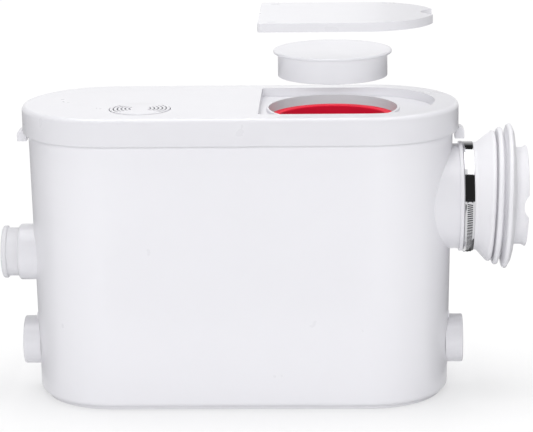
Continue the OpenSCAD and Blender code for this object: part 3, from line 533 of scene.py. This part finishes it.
for side, name in ((1, "right_low_port"), (-1, "left_low_port")):
    port = make_object(name, rod, low_radius, *span(side, neck_root, low_end), low_axis, "X", soft=0.0012)
    cut(port, tank_form)
    cut(port, rod, low_plug + push_gap, *span(side, neck_root, boss_end + push_gap), low_axis, "X")
    cut(port, rod, low_bore, *span(side, neck_root, low_end + overrun), low_axis, "X")
    # The sockets take the necks' darker white, which is painted shade.
    finish_piece(port, "casing", shaded_neck_white, [name], edge=0.0004)

# The lid. A white ABS moulding that drops over the tank's rim with a deep skirt. Its right half
# has a sunk tray for the access cover, and a round neck with a ledge for the red seal.
lid_top, lid_radius = lid_high.z, lid_high.y
skirt, skirt_deep, plate, lid_round = 0.0026, 0.0245, 0.003, 0.0045
skirt_low = lid_top - skirt_deep
recess_x, recess_radius, recess_end, recess_round = 0.1127, 0.062, 0.0182, 0.004
recess_deep, tray = 0.008, 0.0025
recess_floor = lid_top - recess_deep
neck_radius, neck_wall, neck_rise, ledge, seal_flange = 0.0596, 0.0019, 0.0024, 0.003, 0.003
seal_low, seal_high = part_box("access_seal")
seal_hole = 0.0517
ledge_top = seal_high.z - seal_flange
neck_bottom = ledge_top - ledge
neck_axis = (middle("access_plug", "x"), 0, 0)
vent_low, vent_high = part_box("vent_grille")
vent_x, vent_y = middle("vent_grille", "x"), middle("vent_grille", "y")
vent_axis = (vent_x, vent_y, 0)
vent_radius = (vent_high.x - vent_low.x) / 2
vent_room, vent_rest, vent_seat = 0.0005, 0.003, 0.0025


def tray_plan(bm, low, high, grow, steps=44):
    """A flat form with the access cover's outline: square to the left, round to the right."""
    half = recess_radius + grow
    block(bm, (recess_end - grow, -half, low), (recess_x + half, half, high))
    upright = [e for e in bm.edges if abs((e.verts[0].co - e.verts[1].co).z) > high - low - 1e-7]
    right = [e for e in upright if e.verts[0].co.x > recess_x]
    left = [e for e in upright if e.verts[0].co.x < recess_x]
    bmesh.ops.bevel(bm, geom=left, offset=recess_round + grow, offset_type="OFFSET", affect="EDGES",
                    segments=8, profile=0.5, material=-1, clamp_overlap=False)
    bmesh.ops.bevel(bm, geom=[e for e in right if e.is_valid], offset=half, offset_type="OFFSET",
                    affect="EDGES", segments=steps, profile=0.5, material=-1, clamp_overlap=False)
    close_up(bm, merge=True)


# The lid, its clips, vent, plug and cover take a darker copy of the tank's white ABS: painted shade that
# makes their sides darker than the tank's.
shaded_lid_white = moulded_white("shaded_lid_white", (0.73, 0.726, 0.755))
lid = make_object("lid", sweep_plan, [
    (lid_radius - skirt, lid_top - plate), (lid_radius - skirt, skirt_low), (lid_radius, skirt_low),
    *arc(lid_radius - lid_round, lid_top - lid_round, lid_round, 0, 90, 8)])
join(lid, tray_plan, recess_floor - tray, lid_top - plate / 2, tray)
join(lid, rod, neck_radius, neck_bottom, recess_floor - tray / 2, neck_axis, "Z")
cut(lid, tray_plan, recess_floor, lid_top + overrun, 0)
join(lid, rod, neck_radius, recess_floor - tray / 2, recess_floor + neck_rise, neck_axis, "Z", soft=0.0009)
cut(lid, rod, neck_radius - neck_wall, ledge_top, lid_top, neck_axis, "Z")
cut(lid, rod, seal_hole, neck_bottom - overrun, lid_top, neck_axis, "Z")
cut(lid, rod, vent_radius + vent_room, lid_top - vent_seat, lid_top + overrun, vent_axis, "Z")
cut(lid, rod, vent_radius - vent_rest, lid_top - 2 * plate, lid_top, vent_axis, "Z")
finish_piece(lid, "casing", shaded_lid_white, ["lid"], edge=0.0006)

# The pan coupling. A white rubber moulding that slips over the tank's spigot, with three soft
# fins that fill the hole in the wall behind the pan, and a cuff with a notch in its rim. It leans a
# little where it hangs free.


def soft_white(name, colour):
    """Rubber in one of the part's whites."""
    return finish_material(name, colour, 0.5, tone=0.008, grain=2400, depth=0.00001, specular=0.35)


white_rubber = soft_white("white_rubber", (0.78, 0.776, 0.80))
coupling_low, coupling_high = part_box("inlet_coupling")
spigot_hold, grip_radius = 0.04605, 0.04855
cuff_bore, cuff_radius, lip_radius = 0.0415, 0.0438, 0.0456
grip_start, cuff_end = coupling_low.x, coupling_high.x - 0.0008
grip_soft, lip_round, bore_start = 0.0003, 0.0009, spigot_end + 0.0003
grip = [(spigot_hold, grip_start), (grip_radius - grip_soft, grip_start),
        (grip_radius, grip_start + grip_soft), (grip_radius, 0.2112)]
first_fin = [(0.0489, 0.2122), (0.0580, 0.2223), *arc(0.0566, 0.2245, 0.0024, -40, 80, 8),
             (0.0535, 0.22705), (0.0526, 0.2275)]
second_fin = [(0.0532, 0.2279), (0.0585, 0.2286), *arc(0.0597, 0.2308, 0.0025, -80, 55, 8),
              (0.0545, 0.2344), (0.0533, 0.2349)]
third_fin = [(0.0539, 0.2355), (0.0612, 0.2368), *arc(0.0629, 0.2395, 0.0025, -80, 30, 8),
             (0.0626, 0.2420), (0.0597, 0.2435), (0.0550, 0.2444), (0.0500, 0.2449), (0.0462, 0.2451),
             (0.0446, 0.2454)]
cuff = [(cuff_radius, 0.2463), (cuff_radius, cuff_end - 0.0044), (0.0443, cuff_end - 0.0030),
        (0.0450, cuff_end - 0.0018), *arc(lip_radius - lip_round, cuff_end - lip_round, lip_round, 0, 90, 6),
        (0.0423, cuff_end), (cuff_bore, cuff_end - 0.0008), (cuff_bore, bore_start)]
coupling = make_object("pan_coupling", turn, grip + first_fin + second_fin + third_fin + cuff + [
    (spigot_hold, bore_start)], pan_axis, "X", steps=192)
notch_radius, notch_out, notch_drop, notch_near, notch_far = 0.0155, 0.0115, 0.0004, -0.06, -0.03
cut(coupling, rod, notch_radius, notch_near, notch_far, (cuff_end + notch_out, 0, inlet_z - notch_drop), "Y")
lean, lean_start, lean_full = 0.038, 0.2112, 0.2192
cuff_upright, cuff_start, cuff_fade = 0.6, 0.243, 0.004
for vertex in coupling.data.vertices:
    share = min(1, max(0, (vertex.co.x - lean_start) / (lean_full - lean_start)))
    share *= 1 - cuff_upright * min(1, max(0, (vertex.co.x - cuff_start) / cuff_fade))
    vertex.co.x += lean * share * (vertex.co.z - inlet_z)
finish_piece(coupling, "casing", white_rubber, ["inlet_coupling"], edge=0.0002, angle=40,
             segments=2)

# The hose clamp. A polished stainless steel band round the coupling. Its free end, pierced with
# slanted slots for the worm screw, lies over the band and runs into the housing at the back.
stainless = finish_material("stainless", (0.63, 0.63, 0.65), 0.07, tone=0.03, blotch=60, grain=3000,
                            depth=0.000001, metallic=1.0, wear=0.01)
band_low, band_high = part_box("clamp_band")
band_middle, band_radius = middle("clamp_band", "x"), band_high.y
band_thick, band_round = 0.0009, 0.0003
band = make_object("clamp_band", turn, [
    (band_radius - band_thick, band_low.x),
    *arc(band_radius - band_round, band_low.x + band_round, band_round, -90, 0, 4),
    *arc(band_radius - band_round, band_high.x - band_round, band_round, 0, 90, 4),
    (band_radius - band_thick, band_high.x)], pan_axis, "X", steps=192)
finish_piece(band, "casing", stainless, ["clamp_band"], angle=50)

tail_half, tail_gap, tail_thick = 0.003, 0.00008, 0.0007
tail_start, tail_sweep = math.radians(7), math.radians(141)
slot_pitch, slot_long, slot_wide, slot_slant = math.radians(2.02), 0.00255, 0.0005, math.radians(9)
slot_start, slot_spare, slot_near, slot_far = math.radians(3.2), math.radians(6), -0.054, -0.046
slot_round_share, sliver = 0.9, 0.0001


def bent_strip(bm, inner, outer, half, first, sweep, steps=90):
    """A stretch of flat strip bent round the pan inlet's axis, from an angle over the front."""
    block(bm, (-half, -outer, -sliver), (half, -inner, sliver))
    bmesh.ops.delete(bm, geom=[f for f in bm.faces if abs(f.normal.z) < 0.5 or f.calc_center_median().z > 0],
                     context="FACES")
    section = [v for v in bm.verts if v.is_valid]
    bmesh.ops.translate(bm, verts=section, vec=(band_middle, 0, sliver))
    bmesh.ops.rotate(bm, verts=section, cent=(0, 0, 0), matrix=Matrix.Rotation(-first, 3, "X"))
    bmesh.ops.translate(bm, verts=section, vec=pan_axis)
    bmesh.ops.spin(bm, geom=everything(bm), cent=pan_axis, axis=(1, 0, 0), angle=sweep, steps=steps,
                   use_merge=False, use_duplicate=False)
    close_up(bm, merge=True, cap=True)


def slots(bm):
    """The slots of the clamp's free end."""
    count = int((tail_sweep - slot_spare) / slot_pitch)
    block(bm, (-slot_long, slot_near, -slot_wide), (slot_long, slot_far, slot_wide))
    through = [e for e in bm.edges if abs((e.verts[0].co - e.verts[1].co).y) > slot_long]
    bmesh.ops.bevel(bm, geom=through, offset=slot_wide * slot_round_share, offset_type="OFFSET",
                    affect="EDGES", segments=3, profile=0.5, material=-1)
    for angle, axis in ((slot_slant, "Y"), (slot_start - tail_start, "X")):
        bmesh.ops.rotate(bm, verts=bm.verts[:], cent=(0, 0, 0), matrix=Matrix.Rotation(angle, 3, axis))
    bmesh.ops.translate(bm, verts=bm.verts[:], vec=(band_middle, 0, inlet_z))
    bmesh.ops.spin(bm, geom=everything(bm), cent=pan_axis, axis=(1, 0, 0), angle=slot_pitch * count,
                   steps=count, use_merge=False, use_duplicate=True)
    close_up(bm)


tail = make_object("clamp_tail", bent_strip, band_radius + tail_gap, band_radius + tail_gap + tail_thick,
                   tail_half, tail_start, tail_sweep)
tip_z = inlet_z + (band_radius + tail_thick) * math.sin(tail_start)
tip_half, tip_near, tip_far, tip_over = 0.006, -0.056, -0.044, 0.004
tip_cut = make_object("tool", block, (band_middle - tip_half, tip_near, tip_z - tail_half),
                      (band_middle + tip_half, tip_far, tip_z + tip_over))
cut(tip_cut, rod, tail_half, tip_near - overrun, tip_far + overrun,
    (band_middle, 0, tip_z - tail_half), "Y")
cut(tail, bmesh.types.BMesh.from_mesh, tip_cut.data)
bpy.data.objects.remove(tip_cut)
cut(tail, slots)
finish_piece(tail, "casing", stainless, angle=50)

# A thin dark strip between the band and its free end shows through the slots: painted shade for the dark in
# the slots, not a part of the clamp.
slot_shade_paint = finish_material("slot_shade_paint", (0.05, 0.05, 0.055), 0.35, tone=0.1, blotch=60, grain=2400,
                             depth=0.000004, metallic=1.0)
shade_strip_gap, shade_strip_start, shade_strip_short = 0.00002, math.radians(2.5), math.radians(3)
shade_strip = make_object("painted_slot_shade", bent_strip, band_radius + shade_strip_gap, band_radius + tail_gap - shade_strip_gap,
                     slot_long, tail_start + shade_strip_start, tail_sweep - shade_strip_short)
finish_piece(shade_strip, "casing", slot_shade_paint, angle=50)

# The clamp's worm housing and screw, which stand below the back of the coupling. The screw's head
# looks to the front, where a screwdriver reaches it under the band.
worm_x, worm_y = band_middle, band_radius + 0.0048
worm_radius, worm_core, worm_half, worm_hole = 0.0028, 0.0022, 0.015, 0.02
housing_half, housing_wide, housing_round = 0.0065, 0.0045, 0.0037
foot_short, foot_deep, band_bite = 0.001, 0.0022, 0.0006
bite_left, bite_right = 0.19, 0.22
worm_axis = (worm_x, worm_y, 0)
to_worm = (Matrix.Translation(pan_axis) @ Matrix.Rotation(math.radians(-52), 4, "X")
           @ Matrix.Translation((0, 0, -inlet_z)))


def hexagon(bm, radius, start, end, centre, axis):
    """A six-sided bar along an axis."""
    turn(bm, [(0, start), (radius, start), (radius, end), (0, end)], centre, axis, closed=False, steps=6,
         start=0.0)


housing = make_object("clamp_housing", rod, housing_round, inlet_z - housing_half, inlet_z + housing_half,
                      worm_axis, "Z")
join(housing, block, (worm_x - housing_round, band_radius - band_bite, inlet_z - housing_half),
     (worm_x + housing_round, worm_y, inlet_z + housing_half))
join(housing, block, (worm_x - housing_wide, band_radius - band_bite, inlet_z - housing_half + foot_short),
     (worm_x + housing_wide, band_radius + foot_deep, inlet_z + housing_half - foot_short))
cut(housing, rod, worm_radius + push_gap, inlet_z - worm_hole, inlet_z + worm_hole, worm_axis, "Z")
cut(housing, rod, band_radius + shade_strip_gap, bite_left, bite_right, pan_axis, "X")
housing.data.transform(to_worm)
finish_piece(housing, "casing", stainless, ["clamp_housing"], edge=0.0004)

thread_pitch, thread_root, thread_steps = 0.0017, worm_core - 0.0002, 36
thread_in, thread_spare, core_in = 0.001, 0.003, 0.001
head_long, head_radius, drive_half, drive_deep = 0.005, 0.004, 0.0006, 0.0018
worm_start = inlet_z - worm_half
turns = int((2 * worm_half - thread_spare) / thread_pitch)


def thread(bm):
    """The worm's ridge, wound up its core."""
    profile = ((thread_root, 0), (worm_radius, thread_pitch * 0.3), (worm_radius, thread_pitch * 0.45),
               (thread_root, thread_pitch * 0.75))
    ridge = draw_wire(bm, [(worm_x + radius, worm_y, worm_start + thread_in + rise)
                           for radius, rise in profile])
    bmesh.ops.spin(bm, geom=ridge, cent=worm_axis, axis=(0, 0, 1), angle=2 * math.pi * turns,
                   steps=thread_steps * turns, dvec=(0, 0, thread_pitch / thread_steps), use_merge=False,
                   use_duplicate=False)
    close_up(bm, cap=True)


worm = make_object("clamp_screw", thread)
join(worm, rod, worm_core, worm_start - core_in, inlet_z + worm_half, worm_axis, "Z", soft=0.0004, steps=64)
join(worm, hexagon, head_radius, worm_start - head_long, worm_start, worm_axis, "Z")
cut(worm, block, (worm_x - drive_half, worm_y - head_long, worm_start - head_long - overrun),
    (worm_x + drive_half, worm_y + head_long, worm_start - head_long + drive_deep))
worm.data.transform(to_worm)
finish_piece(worm, "clamp_worm", stainless, ["clamp_screw"], edge=0.00025, segments=2)

# The basin sleeve. A short white rubber tube pushed into the basin inlet's neck, with a bead at
# its mouth to pull it by. The waste pipe from the basin or shower fits into it.
sleeve_end, sleeve_start = -sleeve_low.x, -sleeve_high.x
sleeve_radius, sleeve_bore, mouth_round = 0.022, 0.0196, 0.0009
bead_radius, bead_start = sleeve_high.y, sleeve_end - 0.0048
sleeve_outline = [
    (sleeve_bore, sleeve_start), (sleeve_radius, sleeve_start), (sleeve_radius, bead_start - 0.001),
    (sleeve_radius + 0.0003, bead_start - 0.0003),
    *arc(bead_radius - 0.0010, bead_start + 0.0011, 0.0010, -80, 0, 5),
    *arc(bead_radius - 0.0020, sleeve_end - 0.0020, 0.0020, 0, 80, 7),
    (sleeve_bore + mouth_round, sleeve_end), (sleeve_bore, sleeve_end - mouth_round)]
sleeve = make_object("basin_sleeve", turn, [(radius, -place) for radius, place in sleeve_outline],
                     basin_axis, "X")
sleeve_rubber = soft_white("sleeve_rubber", (0.7, 0.697, 0.72))
finish_piece(sleeve, "casing", sleeve_rubber, ["basin_sleeve"], angle=50)

# The lid's clips. Two domed white pads under the lid's ends, each with a tongue that grips between
# the skirt and the tank and keeps the lid down.
clip_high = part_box("lid_clips")[1]
clip_half, clip_round, clip_out = clip_high.y, 0.0042, lid_high.x + 0.005
clip_foot, clip_top = skirt_low - 0.0095, skirt_low + 0.0006
tongue_in = lid_high.x - skirt - 0.0022
tongue_out, clip_in = tongue_in + 0.0014, lid_high.x - 0.0036
beside_skirt, under_skirt = lid_high.x + 0.00005, skirt_low - 0.0001
tongue_foot, clip_shoulder = under_skirt - 0.0015, under_skirt - 0.0035


def clip_pair(bm):
    """Both clips, each a profile carried across its width."""
    dome = [(clip_in, clip_foot), (clip_out, clip_foot),
            *arc(clip_out - clip_round, clip_top - clip_round, clip_round, 0, 85, 8),
            (beside_skirt, clip_top), (beside_skirt, under_skirt), (tongue_out, under_skirt),
            (tongue_out, clip_high.z), (tongue_in, clip_high.z), (tongue_in, tongue_foot),
            (clip_in, clip_shoulder)]
    flat_face(bm, [(x, -clip_half, z) for x, z in dome])
    far_side = bmesh.ops.extrude_face_region(bm, geom=bm.faces[:])["geom"]
    bmesh.ops.translate(bm, verts=[v for v in far_side if isinstance(v, bmesh.types.BMVert)],
                        vec=(0, 2 * clip_half, 0))
    bmesh.ops.mirror(bm, geom=everything(bm), matrix=Matrix.Identity(4), merge_dist=-1, axis="X")
    close_up(bm)


clips = make_object("lid_clips", clip_pair)
finish_piece(clips, "casing", shaded_lid_white, ["lid_clips"], edge=0.0005)

# The vent. A white disc pressed into the lid, with five arc slots on each side of a plain middle
# bar. A grey cup of active carbon hangs under it and takes the smell out of the air.
vent_edge, vent_proud = 0.0004, 0.0006
vent_hub, vent_slot, vent_pitch, vent_rings, slot_half = 0.0089, 0.0013, 0.0035, 5, 40
vent = make_object("vent_grille", rod, vent_radius - vent_edge, vent_low.z, lid_top + vent_proud, vent_axis,
                   "Z", soft=vent_edge)


def vent_slots(bm):
    """Arc slots on both sides of the middle bar."""
    place = Vector(vent_axis)
    low, high = vent_low.z - overrun, vent_high.z + overrun
    for ring in range(vent_rings):
        near = vent_hub + ring * vent_pitch
        far = near + vent_slot
        for side in (0, 180):
            first = math.radians(side - slot_half)
            out = Vector((math.cos(first), math.sin(first), 0))
            wire = draw_wire(bm, [place + out * radius + Vector((0, 0, height)) for radius, height in (
                (near, low), (far, low), (far, high), (near, high))])
            bmesh.ops.spin(bm, geom=wire, cent=place, axis=(0, 0, 1), angle=math.radians(2 * slot_half),
                           steps=32, use_merge=False, use_duplicate=False)
    close_up(bm, cap=True)


cut(vent, vent_slots)
finish_piece(vent, "casing", shaded_lid_white, ["vent_grille"], edge=0.00025, segments=2)

# The seal of the access neck. A red rubber ring that rests on the neck's ledge, with a tube that
# hugs the plug's skirt.
red_rubber = finish_material("red_rubber", (0.8, 0.006, 0.036), 0.5, tone=0.05, blotch=40, grain=2200,
                             depth=0.00001, specular=0.25)
seal_radius, seal_bore, seal_tube = seal_high.y, 0.0492, 0.0514
seal_round, mouth_soft = 0.0008, 0.0011
seal = make_object("access_seal", turn, [
    (seal_bore, seal_low.z), (seal_tube, seal_low.z), (seal_tube, ledge_top), (seal_radius, ledge_top),
    *arc(seal_radius - seal_round, seal_high.z - seal_round, seal_round, 0, 90, 4),
    *arc(seal_bore + mouth_soft, seal_high.z - mouth_soft, mouth_soft, 90, 180, 5)],
    neck_axis, "Z", steps=160)
finish_piece(seal, "casing", red_rubber, ["access_seal"], angle=50)
seal.visible_diffuse = False

# The plug. A white cap with a bead round its top and a plain skirt that pushes into the red seal.
# It is lifted out here, in line with its neck.
plug_low, plug_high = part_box("access_plug")
plug_radius, plug_skirt, plug_wall = (plug_high.y - plug_low.y) / 2, 0.0489, 0.0025
skirt_long, skirt_soft, foot_round = 0.0205, 0.0004, 0.0006
dish_deep, dish_ease, dish_wide = 0.00035, 0.00015, 0.0024
bead = (plug_high.z - plug_low.z - skirt_long) / 2
plug_top, bead_low = plug_high.z, plug_high.z - 2 * bead
plug_bore = plug_skirt - plug_wall
plug = make_object("access_plug", turn, [
    (0, bead_low), (plug_bore, bead_low), (plug_bore, plug_low.z + skirt_soft),
    (plug_bore + skirt_soft, plug_low.z),
    *arc(plug_skirt - foot_round, plug_low.z + foot_round, foot_round, -90, 0, 3),
    (plug_skirt, bead_low - skirt_soft), (plug_skirt + skirt_soft, bead_low),
    *arc(plug_radius - bead, plug_top - bead, bead, -90, 90, 12),
    (plug_radius - bead - dish_wide / 2, plug_top - dish_ease),
    (plug_radius - bead - dish_wide, plug_top - dish_deep), (0, plug_top - dish_deep)],
    neck_axis, "Z", closed=False, steps=160)
finish_piece(plug, "plug", shaded_lid_white, ["access_plug"], angle=40)
plug.visible_shadow = plug.visible_diffuse = False

# The access cover. A white plate with a deep rim that fills the lid's tray, and a finger notch at
# its round end. A ring under it stands on the plug. It is lifted off here.
cover_low, cover_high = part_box("access_cover")
cover_inset, cover_deep, cover_plate = 0.0005, 0.0077, 0.0025
cover_under, plate_under = cover_high.z - cover_deep, cover_high.z - cover_plate
ring_radius, ring_wall = 0.043, 0.0022
finger_radius, finger_out = 0.017, 0.00425
mark_half, mark_wide, mark_deep, mark_inset = 0.004, 0.0015, 0.0004, 0.009
mark_left, mark_right = recess_end + 0.013, recess_x + 0.0195
cover = make_object("access_cover", tray_plan, cover_under, cover_high.z, -cover_inset)
cut(cover, rod, neck_radius + cover_inset, cover_under - overrun, plate_under, neck_axis, "Z")
ring_top = cover_high.z - cover_plate / 2
join(cover, turn, [(ring_radius - ring_wall, cover_low.z), (ring_radius, cover_low.z),
                   (ring_radius, ring_top), (ring_radius - ring_wall, ring_top)], neck_axis, "Z")
cut(cover, rod, finger_radius, cover_under - overrun, cover_high.z + overrun,
    (recess_x + recess_radius + finger_out, 0, 0), "Z")
for mark_x in (mark_left, mark_right):
    for side in (1, -1):
        mark_y = side * (recess_radius - mark_inset)
        cut(cover, block, (mark_x - mark_half, mark_y - mark_wide, cover_high.z - mark_deep),
            (mark_x + mark_half, mark_y + mark_wide, cover_high.z + overrun))
finish_piece(cover, "cover", shaded_lid_white, ["access_cover"], edge=0.0004)
cover.visible_shadow = cover.visible_diffuse = False

# The discharge. A grey elbow on the check valve leaves through the back wall in a black rubber
# grommet, and has three barbs for the hose.
grey_plastic = finish_material("grey_plastic", (0.43, 0.44, 0.46), 0.42, tone=0.04, grain=1600,
                               depth=0.000012)
black_rubber = finish_material("black_rubber", (0.028, 0.028, 0.031), 0.58, tone=0.12, grain=2200,
                               depth=0.000015, specular=0.35)
outlet_y, outlet_bore, flange_thick = 0.034, 0.011, 0.003
barb_pitch, barb_long, barb_start = 0.009, 0.006, 0.0061
elbow_end, elbow_base = elbow_high.y, elbow_low.z
barbed = [(0, outlet_y), (outlet_radius, outlet_y)]
for place in (2, 1, 0):
    foot = elbow_end - place * barb_pitch
    barbed += [(outlet_radius, foot - barb_start), (outlet_radius + barb, foot - barb_long),
               (outlet_radius, foot)]
elbow = make_object("discharge_elbow", turn, barbed + [(0, elbow_end)], elbow_axis, "Y", closed=False)


def ball(bm, radius, centre):
    """A round corner for the elbow."""
    bmesh.ops.create_uvsphere(bm, u_segments=64, v_segments=32, radius=radius,
                              matrix=Matrix.Translation(centre))


corner, riser_axis = (elbow_x, outlet_y, elbow_z), (elbow_x, outlet_y, 0)
join(elbow, ball, outlet_radius, corner)
join(elbow, rod, outlet_radius, elbow_base, elbow_z, riser_axis, "Z")
join(elbow, rod, elbow_high.x - elbow_x, elbow_base, elbow_base + flange_thick, riser_axis, "Z", soft=0.0006)
cut(elbow, rod, outlet_bore, elbow_base - overrun, elbow_z, riser_axis, "Z")
cut(elbow, ball, outlet_bore, corner)
cut(elbow, rod, outlet_bore, outlet_y, elbow_end + overrun, elbow_axis, "Y")
finish_piece(elbow, "casing", grey_plastic, ["discharge_elbow"], edge=0.0003, segments=2)

grommet_low, grommet_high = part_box("elbow_grommet")
grommet_hold, grommet_hole, grommet_lip = outlet_radius + push_gap, 0.01645, grommet_high.x - elbow_x
flange_start, rim_round, hold_soft = grommet_high.y - wall, 0.0012, 0.0004
grommet = make_object("elbow_grommet", turn, [
    (grommet_hold, grommet_low.y), (grommet_hole, grommet_low.y), (grommet_hole, flange_start),
    (grommet_lip, flange_start),
    *arc(grommet_lip - rim_round, grommet_high.y - rim_round, rim_round, 0, 90, 5),
    (grommet_hold + hold_soft, grommet_high.y), (grommet_hold, grommet_high.y - hold_soft)],
    elbow_axis, "Y")
finish_piece(grommet, "casing", black_rubber, ["elbow_grommet"], angle=50)

# The cable entry. A black nylon gland with a hexagon and a domed cap, held in the back wall by a
# flat nut inside. The mains lead passes through it.
black_plastic = finish_material("black_plastic", (0.035, 0.035, 0.038), 0.45, tone=0.1, grain=1800,
                                depth=0.000012)
gland_radius, gland_hex, gland_bore, gland_round = 0.009, gland_high.x - gland_x, 0.0045, 0.003
gland_wall = gland_high.y - 0.015
hex_start, hex_end = gland_wall + 0.0015, gland_wall + 0.0075
gland = make_object("cable_gland", turn, [
    (0, gland_low.y), (gland_radius, gland_low.y), (gland_radius, gland_high.y - gland_round),
    *arc(gland_radius - gland_round, gland_high.y - gland_round, gland_round, 0, 90, 7),
    (0, gland_high.y)], gland_axis, "Y", closed=False, steps=96)
join(gland, hexagon, gland_hex, hex_start, hex_end, gland_axis, "Y")
cut(gland, rod, gland_bore, gland_low.y - overrun, gland_high.y + overrun, gland_axis, "Y")
finish_piece(gland, "casing", black_plastic, ["cable_gland"], edge=0.0004, segments=2)

# The pad that the tank stands on. A pale rubber mat with a small chamfer round its foot, glued
# under the tank's base a little inside its edge.
pad_edge, pad_soft = base_radius - base_round - 0.0002, 0.0004
pad = make_object("base_pad", sweep_plan, [
    (pad_edge - pad_soft, pad_low.z), (pad_edge, pad_low.z + pad_soft), (pad_edge, pad_high.z)])
finish_piece(pad, "casing", white_rubber, ["base_pad"])

# What is inside the tank: motor, pump, valve, level switch and electrics. These pieces stand as
# they were drawn, in the finish that each would have.


def dress(material, *names):
    """Gives pieces of the drawing their material."""
    for name in names:
        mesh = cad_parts[name].data
        if not mesh.materials:
            mesh.materials.append(material)
        for place in range(len(mesh.materials)):
            mesh.materials[place] = material


def bands(tree, pitch, direction):
    """Even stripes across a direction, with a pitch in metres."""
    pattern = tree.nodes.new("ShaderNodeTexWave")
    pattern.bands_direction = direction
    pattern.inputs["Scale"].default_value = math.pi / (10 * pitch)
    tree.links.new(own_place(tree), pattern.inputs["Vector"])
    return pattern.outputs["Fac"]


def banded_material(name, colour, roughness, pitch, direction, depth, metallic=0.0):
    """A stacked or wound surface: fine even ridges over a plain finish."""
    material = finish_material(name, colour, roughness, tone=0.12, blotch=50, metallic=metallic)
    tree = material.node_tree
    tree.links.new(relief(tree, bands(tree, pitch, direction), depth),
                   tree.nodes["Principled BSDF"].inputs["Normal"])
    return material


carbon = finish_material("carbon", (0.018, 0.018, 0.02), 0.75, tone=0.5, blotch=700, grain=900, depth=0.0006)
steel_core = banded_material("steel_core", (0.26, 0.27, 0.29), 0.4, 0.0005, "X", 0.00006, metallic=0.7)
copper_wire = banded_material("copper_wire", (0.62, 0.25, 0.1), 0.3, 0.0009, "X", 0.00025, metallic=0.5)
board_green = finish_material("board_green", (0.02, 0.19, 0.09), 0.35, tone=0.35, blotch=220, grain=900,
                              depth=0.00003)
dress(black_rubber, "lid_gasket", "left_flap", "right_flap", "shaft_seal", "riser_pipe", "valve_flap",
      "membrane")
dress(grey_plastic, "filter_cup", "inlet_chute", "basket", "motor_housing", "motor_plate", "volute",
      "volute_cover", "impeller", "motor_cradle", "valve_body", "pressure_chamber", "pressure_switch",
      "control_box", "box_lid")
dress(black_plastic, "capacitor", "gland_nut")
dress(carbon, "carbon_filter")
dress(stainless, "flap_pins", "cutter", "shaft", "rear_bearing", "front_bearing", "valve_pin", "box_screws",
      "motor_screws")
dress(steel_core, "rotor", "stator")
dress(copper_wire, "windings")
dress(board_green, "control_board")
dress(red_rubber, "switch_plunger")
